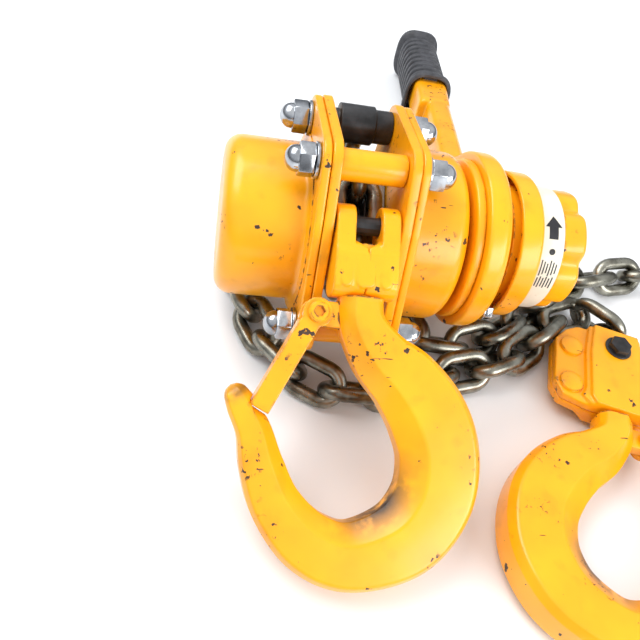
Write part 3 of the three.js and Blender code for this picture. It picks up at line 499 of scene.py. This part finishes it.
# %% Covers
frame_edge = belt([(*BACK_BOLT, 11), (*FRONT_BOLT, 11.5), (*LOWER_BOLT, 11), (*TOP_PIN, 7.2), (0, 0, 38.5)])
outer_edge = [r - 0.5 for r in frame_edge]


def cup(x0, x_end, r, corner, hole, foot):
    """A thin turned cover with a foot at x0 and its end at x_end, closed where the hole is 0."""
    way = math.copysign(1, x_end - x0)
    bore = max(hole, 0.01)
    inside = x_end - way * WALL
    profile = [(x0, r + foot, 0.3), (x0 + way * 0.6, r + foot, 0.3), (x0 + way * 1.2, r, 5),
               (x_end, r, corner), (x_end, bore, 0.4), (inside, bore, 0.4),
               (inside, r - WALL, corner - WALL), (x0, r - WALL, 0.2)]
    return lathe(rounded(profile, 0.4, steps=10), segments=160)


piece("gear cover shell", [plate(outer_edge, GEAR_COVER_R - WALL, -FLANGE_OUT, -FLANGE_IN, 1.0),
                           cup(-FLANGE_OUT + 0.2, GEAR_COVER_END, GEAR_COVER_R, 8.0, 0, 5.0)],
      YELLOW, "frame", ["gear_cover"])
piece("brake cover shell", [plate(outer_edge, 38 - WALL, FLANGE_IN, FLANGE_OUT, 1.0),
                            cup(FLANGE_OUT - 0.2, BRAKE_COVER_END, BRAKE_COVER_R, 7.0, 15, 1.2)],
      YELLOW, "frame", ["brake_cover"])
piece("gear side plate", [plate(frame_edge, 15.6, -PLATE_OUT, -PLATE_IN)], YELLOW, "frame",
      ["gear_side_plate"])
piece("brake side plate", [plate(frame_edge, 15.6, PLATE_IN, PLATE_OUT)], YELLOW, "frame",
      ["brake_side_plate"])
stay = PLATE_IN - 0.3


def tube_profile(r, bore, x0, x1, soft=0.6):
    return rounded([(x0, bore), (x0, r), (x1, r), (x1, bore)], soft)


for name, at in (("front_stay_tube", FRONT_BOLT), ("lower_stay_tube", LOWER_BOLT)):
    piece(name.replace("_", " "), [lathe(tube_profile(6.8, 4.3, -stay, stay), at, 64)], YELLOW,
          "frame", [name])
roller = rounded([(-stay, 4.3), (-stay, 6.2), (-stay + 3.6, 6.2), (-stay + 3.8, 8.8), (stay - 8.5, 8.8),
                  (stay - 8.1, 7.6), (stay, 7.6), (stay, 4.3)], 0.5)
piece("guide roller", [lathe(roller, BACK_BOLT, 96)], BLACK, "guide_roller", ["guide_roller"])


def hexagon(af, turn=0.0, soft=0.5):
    return rounded([polar(af / math.sqrt(3), 60 * k + turn) for k in range(6)], soft, steps=3)


def acorn(side, at, turn):
    """Washer, hexagon and dome of a plated cap nut."""
    s = NUT_SEAT
    top = s + NUT_WASHER
    place = Matrix.Translation((0, *at)) @ Matrix.Scale(side, 4, (1, 0, 0))
    washer = lathe(rounded([(s, 3.9), (s, NUT_WASHER_R), (top, NUT_WASHER_R), (top, 3.9)], 0.35),
                   segments=64)
    body = prism(hexagon(NUT_AF, turn), top, s + 8.4, 0.8)
    dome = [(s + 8.2, 0.01), (s + 8.2, NUT_DOME_R)]
    for a in range(0, 90, 9):
        up, out = polar(1, a)
        dome.append((s + 9.2 + 4.9 * out, NUT_DOME_R * up))
    dome.append((s + 14.1, 0.01))
    return [moved(v, place) for v in (washer, body, solid_lathe(dome))]


for k, (name, at) in enumerate((("back", BACK_BOLT), ("front", FRONT_BOLT), ("lower", LOWER_BOLT))):
    for side, word in ((-1, "gear"), (1, "brake")):
        node = f"cap_nut_{name}_{word}"
        piece(node.replace("_", " "), acorn(side, at, 13 * k + 7 * side), ZINC, "frame", [node], 30)

# %% [markdown]
# ## Lever, handwheel and label

# %% Lever
turn_x = Matrix.Rotation(math.radians(-LEVER_DROP), 4, "X")
arm_place = turn_x @ Matrix.Translation((ARM_X, 0, 0)) @ Matrix.Rotation(math.radians(-LEVER_YAW), 4, "Z")


def bar(width, height, stations, middle, corner):
    """A rounded bar along the arm; stations are (distance, width scale, height scale)."""
    rings = []
    for y, sw, sh in stations:
        w, h = width * sw / 2, height * sh / 2
        outline = rounded([(-w, -h), (w, -h), (w, h), (-w, h)], corner, steps=5)
        rings.append([(middle[0] + a, y, middle[1] + b) for a, b in outline])
    return moved(sweep(rings), arm_place)


grip_start = LEVER_LENGTH - GRIP_LENGTH
tear = [(0, 0, HUB_R), (*polar(50, -LEVER_DROP - 2), 12.5)]
# The pressing: the outer half of the hub, a narrow arm that runs out of it, and a wider tongue at the grip.
arm = bar(15.5, 19, [(34, 1.25, 2.0), (44, 1.15, 1.6), (56, 1.02, 1.2), (68, 1.0, 1.0),
                     (grip_start - 22, 1, 1), (grip_start - 8, 1, 1)], (3.2, 1), 5.0)
tongue = bar(21, 20, [(grip_start - 27, 0.98, 0.9), (grip_start - 24, 1, 1), (grip_start - 6, 1.05, 1.04),
                      (grip_start + 12, 1.05, 1.04)], (0.6, 1), 4.0)
cast("lever pressing", [plate(belt(tear), 14, HUB_SPLIT + 0.3, HUB_OUT, 1.2, 5.0), arm, tongue], YELLOW,
     "lever", ["lever_outer_shell"], 0.75, 7)
piece("lever inner disc", [plate([INNER_DISC_R] * 240, 15, HUB_IN, HUB_SPLIT, 1.4, 0.5)], YELLOW,
      "lever", ["lever"])

# %% Grip
# A moulded sleeve, deeper than it is wide, with a collar that stands open round the arm.
# Each list holds (distance along the arm, radius) from the grip's start, a rib's start or the lever's end.
COLLAR = [(14, 4), (13, 11.6), (1, 13.4), (0, 14), (0, 15.2), (0.8, 16), (2.8, 16), (3.8, 15.2), (4.6, 13)]
RIB = [(0, 12.6), (0.6, 13.6), (1.2, 13.8), (3.6, 13.8), (4.2, 13.6), (4.8, 12.6)]
GRIP_END = [(-7, 12.8), (-5.6, 15), (-4.6, 15.8), (-2, 15.8), (-0.6, 15), (0, 13), (0.1, 6)]
RIBS, RIB_STEP, FIRST_RIB = 9, 7.6, 8.2
WIDTH, DEPTH, SQUARE = 0.97, 1.16, 0.66
SAG = -1.6


def grip_ring(y, r, points=84):
    """A rounded rectangle about the arm; a lower SQUARE makes its corners fuller."""
    ring = []
    for k in range(points):
        c, s = polar(1, 360 * k / points)
        a = r * WIDTH * math.copysign(abs(c) ** SQUARE, c)
        b = r * DEPTH * math.copysign(abs(s) ** SQUARE, s) + SAG
        ring.append((a, y, b))
    return ring


stations = [(grip_start + y, r) for y, r in COLLAR]
for i in range(RIBS):
    rib_start = grip_start + FIRST_RIB + i * RIB_STEP
    stations += [(rib_start + y, r) for y, r in RIB]
stations += [(LEVER_LENGTH + y, r) for y, r in GRIP_END]
sleeve = moved(sweep([grip_ring(y, r) for y, r in stations]), arm_place)
spine = bar(9, 30.2, [(grip_start + 4, 1, 1), (LEVER_LENGTH - 6, 1, 1)], (0, SAG), 1.2)
piece("ribbed grip", [sleeve, spine], RUBBER, "lever", ["grip"], 40)

# %% Handwheel, skirt and label
skirt = rounded([(RING_IN, RING_R - 2, 0.5), (RING_IN, RING_R + 0.3, 0.9), (RING_OUT, RING_R, 2.6),
                 (RING_OUT, SLEEVE_R + 0.3, 0.3), (RING_OUT - 2, SLEEVE_R + 0.3, 0.3),
                 (RING_OUT - 2, RING_R - 2, 1.2)], 0.5, steps=8)
piece("handwheel skirt", [lathe(skirt, segments=160)], YELLOW, "handwheel",
      ["handwheel_skirt"])


def lobed():
    """Edge of the handwheel: round lobes with narrow valleys between them."""
    edge = []
    for k in range(240):
        turn = math.radians(LOBES * k * 1.5)
        edge.append(KNOB_R + 0.3 - VALLEY * (0.5 - 0.5 * math.cos(turn)) ** 4)
    return edge


sleeve = lathe(rounded([(SLEEVE_IN, 25), (SLEEVE_IN, SLEEVE_R), (BAND_OUT + 1, SLEEVE_R), (BAND_OUT + 1, 22),
                        (BAND_OUT - 1, 22), (BAND_OUT - 1, 26.5), (SLEEVE_IN + 1, 26.5)], 0.3), segments=128)
floor_disc = lathe(rounded([(KNOB_OUT - 11, 4.4), (KNOB_OUT - 11, 22), (KNOB_OUT - 9.5, 22),
                            (KNOB_OUT - 9.5, 4.4)], 0.3))
head = plate(lobed(), 17, BAND_OUT + 0.3, KNOB_OUT, 0.6, 2.8)
piece("handwheel head", [sleeve, floor_disc, head], YELLOW, "handwheel", ["knob"])
piece("label band", [lathe(tube_profile(LABEL_R, LABEL_BORE, BAND_IN, BAND_OUT, 0.2), segments=160)], BAND,
      "handwheel", ["label_band"])


def strip(low, high, middle_deg, length, count=24):
    """A thin mark on the band; low and high give its edges along X at each place t from -1 to 1 round it."""
    rings = []
    for k in range(count + 1):
        t = 2 * k / count - 1
        a = math.radians(middle_deg) + t * length / 2 / INK_R
        lo, hi = low(t), high(t)
        corners = ((lo, INK_R - 0.06), (lo, INK_R), (hi, INK_R), (hi, INK_R - 0.06))
        rings.append([(x, q * math.cos(a), q * math.sin(a)) for x, q in corners])
    return sweep(rings)


def mark(half_width, middle_deg, length):
    """A mark about the band's middle line; half_width is a function of the place t."""
    middle = (BAND_IN + BAND_OUT) / 2
    return strip(lambda t: middle - half_width(t), lambda t: middle + half_width(t), middle_deg, length)


# Generic marks: a wedge, a block and a round, then two rows of short bars.
marks = []
for middle in (118, 238, 358):
    marks += [mark(lambda t: 0.05 + 2.1 * (1 + t), middle - 6, 5.5),
              mark(lambda t: 2.3, middle + 4.4, 6),
              mark(lambda t: 1.5 * math.sqrt(max(0.0, 1 - t * t)) + 0.02, middle + 21, 3)]
    for j in range(6):
        x = BAND_IN + 1.6 + j * 1.5
        for turn, length in ((36, 8 - 1.6 * (j % 3)), (50, 5 + 1.4 * (j % 2))):
            marks.append(strip(lambda t: x, lambda t: x + 0.6, middle + turn, length))
piece("label marks", marks, INK, "handwheel")
piece("shaft nut", [prism(hexagon(13), 107.3, 111.6, 0.7),
                    lathe(rounded([(103.6, 4.6), (103.6, 9), (105, 9), (105, 4.6)], 0.3), segments=48)],
      ZINC, "handwheel", ["shaft_nut"], 30)
stem = solid_lathe([(56, 0.01), (56, 3), (73, 3), (73.4, 2.4), (73.4, 0.01)], SELECTOR_AT, 40)
toggle = prism(rounded([(-3.4, -3.4), (3.4, -3.4), (2.2, 9.8), (-2.2, 9.8)], 1.2), HUB_OUT + 0.4,
               HUB_OUT + 4, 0.8, Matrix.Translation((0, *SELECTOR_AT)))
piece("selector toggle", [stem, toggle], BLACK, "selector", ["selector"])
for k, angle in enumerate(LEVER_BOLT_ANGLES):
    at = polar(LEVER_BOLT_CIRCLE, angle)
    node = f"lever_bolt_{k + 1}"
    low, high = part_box(node)
    x0, x1 = [(v.x - ORIGIN.x) / MM for v in (low, high)]
    under = x1 - 3.4
    head = prism(hexagon(8.6, 10 * k), under, x1 + 0.6, 0.5, Matrix.Translation((0, *at)))
    washer = lathe(rounded([(x1 - 4.2, 2.6), (x1 - 4.2, 5.2), (under, 5.2), (under, 2.6)], 0.2), at, 48)
    shank = solid_lathe([(x0, 0.01), (x0, 2.4), (under, 2.4), (under, 0.01)], at, 32)
    piece(node.replace("_", " "), [head, washer, shank], ZINC, "lever", [node], 30)

# %% [markdown]
# ## Hooks, latches and yokes

# %% Hooks
drop = math.radians(HOOK_DROP)
top_w = Vector((0, -math.cos(drop), -math.sin(drop)))
top_u = Vector((1, 0, 0))


def frame_of(u, w, place):
    """A hook's own frame: u across its opening, w away from the hoist, and the third axis through it."""
    m = Matrix((u, w, u.cross(w))).transposed().to_4x4()
    m.translation = place
    return m


TOP = frame_of(top_u, top_w, Vector((0, *TOP_PIN)))
swing = math.radians(BOTTOM_TURN)
BOTTOM = frame_of(Vector((-math.cos(swing), math.sin(swing), 0)),
                  Vector((-math.sin(swing), -math.cos(swing), 0)),
                  Vector((*BOTTOM_BOLT, BOTTOM_Z - ORIGIN.z / MM)))
# Turns a shape made about X into one about the third axis of a hook's frame.
along_n = Matrix(((0, 1, 0, 0), (0, 0, 1, 0), (1, 0, 0, 0), (0, 0, 0, 1)))
# Section of a hook as (a, b): a from the bowl's side at -1 to the back at 1, b through its thickness.
SECTION = rounded([(1, -0.6), (1, 0.6), (0.82, 1), (-0.4, 1), (-1, 0.36), (-1, -0.36), (-0.4, -1),
                   (0.82, -1)], 0.15)


def hook(name, place, shift, body, node):
    """A forged hook swept along its stations, with its neck, its latch's lug and how worn it is.

    It has flat faces, a bevel round the bowl and a seat for the latch; `wear` is 1 where the paint is gone.
    """
    line = catmull([(0, 30.9)] + [s[:2] for s in HOOK_STATIONS], 220)
    size = catmull([(20, 20)] + [s[2:] for s in HOOK_STATIONS], 220)
    pivot, tip = np.array(LATCH_PIVOT), np.array(LATCH_TIP)
    length = np.linalg.norm(tip - pivot)
    along = (tip - pivot) / length
    side = np.array((along[1], -along[0]))
    rings, wear = [], []
    for i, (p, s) in enumerate(zip(line, size)):
        t = i / (len(line) - 1)
        tangent = line[min(i + 1, len(line) - 1)] - line[max(i - 1, 0)]
        tangent /= np.linalg.norm(tangent)
        across = np.array((tangent[1], -tangent[0]))
        flat = min(1, max(0, t - 0.06) / 0.16) * (1 - 0.6 * min(1, max(0, t - 0.86) / 0.12))
        shrink = math.sqrt(max(0.0, 1 - max(0.0, (t - 0.975) / 0.025) ** 2)) * 0.98 + 0.02
        ring = []
        for a, b in SECTION:
            radius = math.hypot(a, b)
            a, b = (v / radius * (1 - flat) + v * flat for v in (a, b))
            at = p + across * a * s[0] / 2 * shrink
            x, y = (at - pivot) @ side, (at - pivot) @ along
            if t > 0.75 and x > -SEAT_OFF and length - SEAT_FAR < y < length - SEAT_NEAR:
                at = at - side * (x + SEAT_OFF)
            ring.append((at[0], at[1] + shift, b * s[1] / 2 * shrink))
            inner = min(1.0, max(0.0, -a - 0.72) / 0.2)
            bowl = inner * math.exp(-((t - 0.56) / 0.1) ** 2)
            wear.append(bowl + 0.75 * math.exp(-((t - 0.975) / 0.022) ** 2))
        rings.append(ring)
    shape = sweep(rings)
    neck_at = Matrix.Translation((0, shift, 0)) @ Matrix.Rotation(math.radians(90), 4, "Z")
    neck = solid_lathe([(9, 0.01), (9, 7.6), (20, 7.6), (20, 5.4), (33, 5.4), (34.2, 6.6), (35, 8),
                        (35, 0.01)], matrix=neck_at)
    lug_at = Matrix.Translation((LATCH_PIVOT[0], LATCH_PIVOT[1] + shift, 0)) @ along_n
    lug = solid_lathe([(-3.2, 0.01), (-3.2, 5), (-2.6, 5.6), (2.6, 5.6), (3.2, 5), (3.2, 0.01)],
                      segments=48, matrix=lug_at)
    web = prism(rounded([(-0.5, -5), (13, -5), (13, 6), (-0.5, 5)], 1.0), -3.2, 3.2, 0.8, lug_at)
    obj = mesh_object(name, [moved(v, place) for v in (shape, neck, lug, web)])
    layer = obj.data.attributes.new("wear", "FLOAT", "POINT")
    values = np.zeros(len(obj.data.vertices), np.float32)
    values[:len(wear)] = np.clip(wear, 0, 1)
    layer.data.foreach_set("value", values)
    finish_piece(obj, YELLOW, body, [node], 50)


hook("top hook", TOP, 0, "top_hook", "top_hook")
hook("bottom hook", BOTTOM, BOTTOM_SHIFT, "bottom_hook", "bottom_hook")
for node in ("top_latch", "bottom_latch"):
    cast(node.replace("_", " "), [node_shape(node)], YELLOW, node, [node], 0.35, 4)


def socket_pin(name, place, shift, body, node):
    """A pin whose button head has a hexagon socket."""
    m = place @ Matrix.Translation((LATCH_PIVOT[0], LATCH_PIVOT[1] + shift, 0)) @ along_n
    # Each ring is (x, radius, sides): round, or six flats at that distance.
    stations = ((7.4, 0.01, 0), (7.4, 2.5, 0), (-5.9, 2.5, 0), (-5.9, 4.4, 0), (-8.2, 4.4, 0),
                (-8.9, 3.7, 0), (-8.9, 2.0, 6), (-7.2, 2.0, 6), (-7.2, 0.01, 0))
    rings = []
    for x, r, sides in stations:
        ring = []
        for a in range(0, 360, 6):
            reach = r / math.cos(math.radians(a % 60 - 30)) if sides else r
            ring.append((x, *polar(reach, a)))
        rings.append(ring)
    piece(name, [moved(sweep(rings), m)], YELLOW, body, [node], 30)


socket_pin("top latch pin", TOP, 0, "top_hook", "top_latch_pin")
socket_pin("bottom latch pin", BOTTOM, BOTTOM_SHIFT, "bottom_hook", "bottom_latch_pin")
for side, node in ((-1, "top_yoke_gear_half"), (1, "top_yoke_brake_half")):
    # Raised pads on both faces: a knuckle over the seam, and a boss on each side of it.
    pads = []
    for way in (-1, 1):
        spans = ((5.9, 10.8),) if side > 0 else ((-4.2, 3.8), (-10.8, -5.9))
        for low, high in spans:
            pad = rounded([(low, PAD_LOW), (high, PAD_LOW), (high, PAD_HIGH), (low, PAD_HIGH)], 2.4)
            face = way * YOKE_FACE
            pads.append(prism(pad, face - PAD_HALF, face + PAD_HALF, 0.6, TOP @ along_n))
    cast(node.replace("_", " "), [node_shape(node), *pads], YELLOW, "top_yoke", [node],
         0.45, 9)
for node in ("bottom_yoke_upper", "bottom_yoke_lower"):
    cast(node.replace("_", " "), [node_shape(node)], YELLOW, "bottom_yoke", [node], 0.5, 14)
rivet_head = [(-4.5, 6.3), (-5.6, 6.4), (-6.6, 6), (-7.2, 4.6), (-7.6, 2.4), (-7.6, 0.01)]
rivet = rivet_head[::-1] + [(-4.5, 3), (4.5, 3)] + [(-x, r) for x, r in rivet_head]
for k, (u, w) in enumerate(RIVETS):
    rivet_at = BOTTOM @ Matrix.Translation((u, w, 0)) @ along_n
    piece(f"bottom rivet {k + 1}", [solid_lathe(rivet, segments=48, matrix=rivet_at)], YELLOW,
          "bottom_yoke", [f"bottom_rivet_{k + 1}"])
bolt_at = BOTTOM @ along_n
head = prism(hexagon(10.4, 10), 10.0, 14.0, 0.6, bolt_at)
shank = solid_lathe([(-11, 0.01), (-11, 3), (10.2, 3), (10.2, 0.01)], segments=40, matrix=bolt_at)
washer = lathe(rounded([(9.8, 3.1), (9.8, 7.2), (10.6, 7.2), (10.6, 3.1)], 0.3), segments=48, matrix=bolt_at)
piece("chain bolt", [head, shank, washer], BLACK, "bottom_yoke", ["chain_bolt"], 30)

# %% [markdown]
# ## The chain
# One link is made once. A small Geometry Nodes tree copies it to the points of each run, turned by the run's
# own `turn` attribute, and the result becomes a plain mesh.

# %% Chain


def one_link(steps=12, sides=24):
    """A link about its own centre, a little thicker where its ends meet its straight sides."""
    bend = (LINK_WIDTH - WIRE) / 2
    straight = (PITCH + WIRE) / 2 - bend
    rings = []
    for end in (1, -1):
        for k in range(steps + 1):
            c, s = polar(1, -90 + 180 * k / steps)
            centre = Vector((end * (straight + bend * c), end * bend * s, 0))
            out = Vector((end * c, end * s, 0))
            r = WIRE / 2 * (1.035 if k in (0, steps) else 1.0)
            ring = []
            for j in range(sides):
                t = 2 * math.pi * j / sides
                ring.append(centre + out * (r * math.cos(t)) + Vector((0, 0, r * math.sin(t))))
            rings.append(ring)
    obj = mesh_object("link pattern", [sweep(rings, closed_path=True)], Vector((0, 0, 0)))
    obj.data.shade_smooth()
    return obj


def chain_tree():
    tree = bpy.data.node_groups.new("Links along a run", "GeometryNodeTree")
    sockets = (("Geometry", "INPUT", "NodeSocketGeometry"), ("Link", "INPUT", "NodeSocketObject"),
               ("Finish", "INPUT", "NodeSocketMaterial"), ("Geometry", "OUTPUT", "NodeSocketGeometry"))
    for name, way, kind in sockets:
        tree.interface.new_socket(name, in_out=way, socket_type=kind)
    inputs = add(tree, "NodeGroupInput")
    info = add(tree, "GeometryNodeObjectInfo", [("Object", inputs, "Link")])
    turn = add(tree, "GeometryNodeInputNamedAttribute", data_type="FLOAT_VECTOR")
    turn.inputs["Name"].default_value = "turn"
    copies = add(tree, "GeometryNodeInstanceOnPoints",
                 [("Points", inputs, "Geometry"), ("Instance", info, "Geometry"), ("Rotation", turn, 0)])
    real = add(tree, "GeometryNodeRealizeInstances", [("Geometry", copies, "Instances")])
    paint = add(tree, "GeometryNodeSetMaterial",
                [("Geometry", real, "Geometry"), ("Material", inputs, "Finish")])
    add(tree, "NodeGroupOutput", [("Geometry", paint, "Geometry")])
    return tree


LINKS = chain_tree()
PATTERN = one_link()


def links(name, places, body, nodes):
    """A run of links; places are (centre, direction, roll in degrees) of each."""
    turns = []
    for centre, way, roll in places:
        x = way.normalized()
        side = x.cross(Vector((0, 0, 1)))
        side = side.normalized() if side.length > 1e-3 else Vector((1, 0, 0))
        m = Matrix((x, side, x.cross(side))).transposed() @ Matrix.Rotation(math.radians(roll), 3, "X")
        turns.append(m.to_euler("XYZ"))
    mesh = bpy.data.meshes.new(name)
    mesh.from_pydata([p[0] * MM + ORIGIN for p in places], [], [])
    layer = mesh.attributes.new("turn", "FLOAT_VECTOR", "POINT")
    layer.data.foreach_set("vector", np.array([tuple(t) for t in turns], np.float32).ravel())
    obj = bpy.data.objects.new(name.replace(" ", "-"), mesh)
    scene.collection.objects.link(obj)
    modifier = obj.modifiers.new("links", "NODES")
    modifier.node_group = LINKS
    for item in LINKS.interface.items_tree:
        if item.in_out == "INPUT" and item.name in ("Link", "Finish"):
            modifier[item.identifier] = PATTERN if item.name == "Link" else CHAIN
    finish_piece(baked(obj), CHAIN, body, nodes, 60)


def run(route, even):
    """Places of the links along a route, at equal steps near LINK_STEP, after its first point.

    An even run has an even number of links and loses its lean at both ends, not at the first alone.
    """
    lift = ORIGIN.z / MM
    dense = catmull([(x, y, z - lift) for x, y, z in route], 1600)
    length = np.concatenate([[0], np.cumsum(np.linalg.norm(np.diff(dense, axis=0), axis=1))])
    count = max(2, round(length[-1] / LINK_STEP))
    if even and count % 2:
        count += 1 if length[-1] / count > LINK_STEP else -1
    step = length[-1] / count

    def at(distance):
        return Vector([np.interp(distance, length, dense[:, j]) for j in range(3)])

    places = []
    for k in range(1, count + 1):
        to_end = count - k if even else k
        lean = LEAN * min(1.0, min(k, to_end) / LEAN_AFTER)
        way = at((k + 0.5) * step) - at((k - 0.5) * step)
        places.append((at(k * step), way, lean + (90 if k % 2 else 0)))
    return places


wrapped = []
for k, angle in enumerate((28, 73, 118, 163, 208, 253, 298)):
    y, z = polar(WRAP_R, angle)
    c, s = polar(1, angle + 90)
    wrapped.append((Vector((0, y, z)), Vector((0, c, s)), 90 if k % 2 else 0))
links("chain on the sheave", wrapped, "sheave", ["wrapped_chain"])
# The load run's first link is left out: it would cut into a link on the sheave.
links("load chain", run(LOAD_ROUTE, True)[1:], "frame", ["chain_load_strand"])
links("tail chain", run(TAIL_ROUTE, False), "frame", ["chain_tail_strand"])
bpy.data.objects.remove(PATTERN)

# %% [markdown]
# ## Materials of the inner pieces

# %% Inner pieces
for name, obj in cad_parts.items():
    if obj.hide_render:
        continue
    material = STEEL
    if name.startswith("friction"):
        material = LINING
    elif name.startswith("stay_bolt"):
        material = ZINC
    elif name == "top_pin":
        material = BLACK
    obj.data.materials.clear()
    obj.data.materials.append(material)

# %% [markdown]
# ## Stage, light and camera

# %% Stage
FLOOR_REACH, FLOOR_Z = 6.0, -0.0006
LIT_POINT = (0, -0.05, 0.03)


def panel(name, size, place, power):
    """A white area light that faces the hoist."""
    light = bpy.data.lights.new(name, "AREA")
    light.shape = "RECTANGLE"
    light.size, light.size_y = size
    light.energy = power
    obj = bpy.data.objects.new(name, light)
    scene.collection.objects.link(obj)
    obj.location = place
    obj.rotation_euler = (Vector(LIT_POINT) - Vector(place)).to_track_quat("-Z", "Y").to_euler()


floor_mesh = bpy.data.meshes.new("floor")
corners = [(x * FLOOR_REACH, y * FLOOR_REACH, FLOOR_Z) for x, y in ((-1, -1), (1, -1), (1, 1), (-1, 1))]
floor_mesh.from_pydata(corners, [], [(0, 1, 2, 3)])
floor = bpy.data.objects.new("floor", floor_mesh)
scene.collection.objects.link(floor)
pale = start("pale_floor", Base_Color=srgb("#eceef0"), Roughness=0.8)[0]
floor_mesh.materials.append(pale)
floor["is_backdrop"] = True

world = bpy.data.worlds.new("studio")
scene.world = world
world.use_nodes = True
tree = world.node_tree
tree.nodes.clear()
path = add(tree, "ShaderNodeLightPath")
seen = add(tree, "ShaderNodeBackground", Color=(1, 1, 1, 1), Strength=1.0)
place = add(tree, "ShaderNodeTexCoord")
height = add(tree, "ShaderNodeSeparateXYZ", [(0, place, "Generated")])
ramp = add(tree, "ShaderNodeValToRGB", [("Fac", height, "Z")])
stops = ramp.color_ramp.elements
stops[0].color = srgb("#6a6a6c")
stops[1].color = srgb("#ffffff")
for at, colour in ((0.16, "#8f9195"), (0.5, "#eef1f6")):
    stops.new(at).color = srgb(colour)
lit = add(tree, "ShaderNodeBackground", [("Color", ramp, "Color")], Strength=0.98)
both = add(tree, "ShaderNodeMixShader", [(0, path, "Is Camera Ray"), (1, lit, 0), (2, seen, 0)])
add(tree, "ShaderNodeOutputWorld", [("Surface", both, 0)])
panel("window", (0.9, 0.7), (-0.55, 0.25, 0.95), 10)
panel("fill", (0.7, 0.5), (0.55, -0.75, 0.42), 7.5)

camera_data = bpy.data.cameras.new("camera")
camera_data.lens = 38.5
camera_data.clip_start = 0.01
camera = bpy.data.objects.new("camera", camera_data)
scene.collection.objects.link(camera)
CAMERA_AT = Vector((-69.3, -239.9, 224.8))
HEADING, DOWN, ROLL = 16.83, 50.0, 17.84
camera.matrix_world = (Matrix.Translation(ORIGIN + CAMERA_AT * MM)
                       @ Matrix.Rotation(math.radians(-HEADING), 4, "Z")
                       @ Matrix.Rotation(math.radians(90 - DOWN), 4, "X")
                       @ Matrix.Rotation(math.radians(ROLL), 4, "Z"))
scene.camera = camera
scene.view_settings.view_transform = "Standard"

# %% Sizes
low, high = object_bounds()
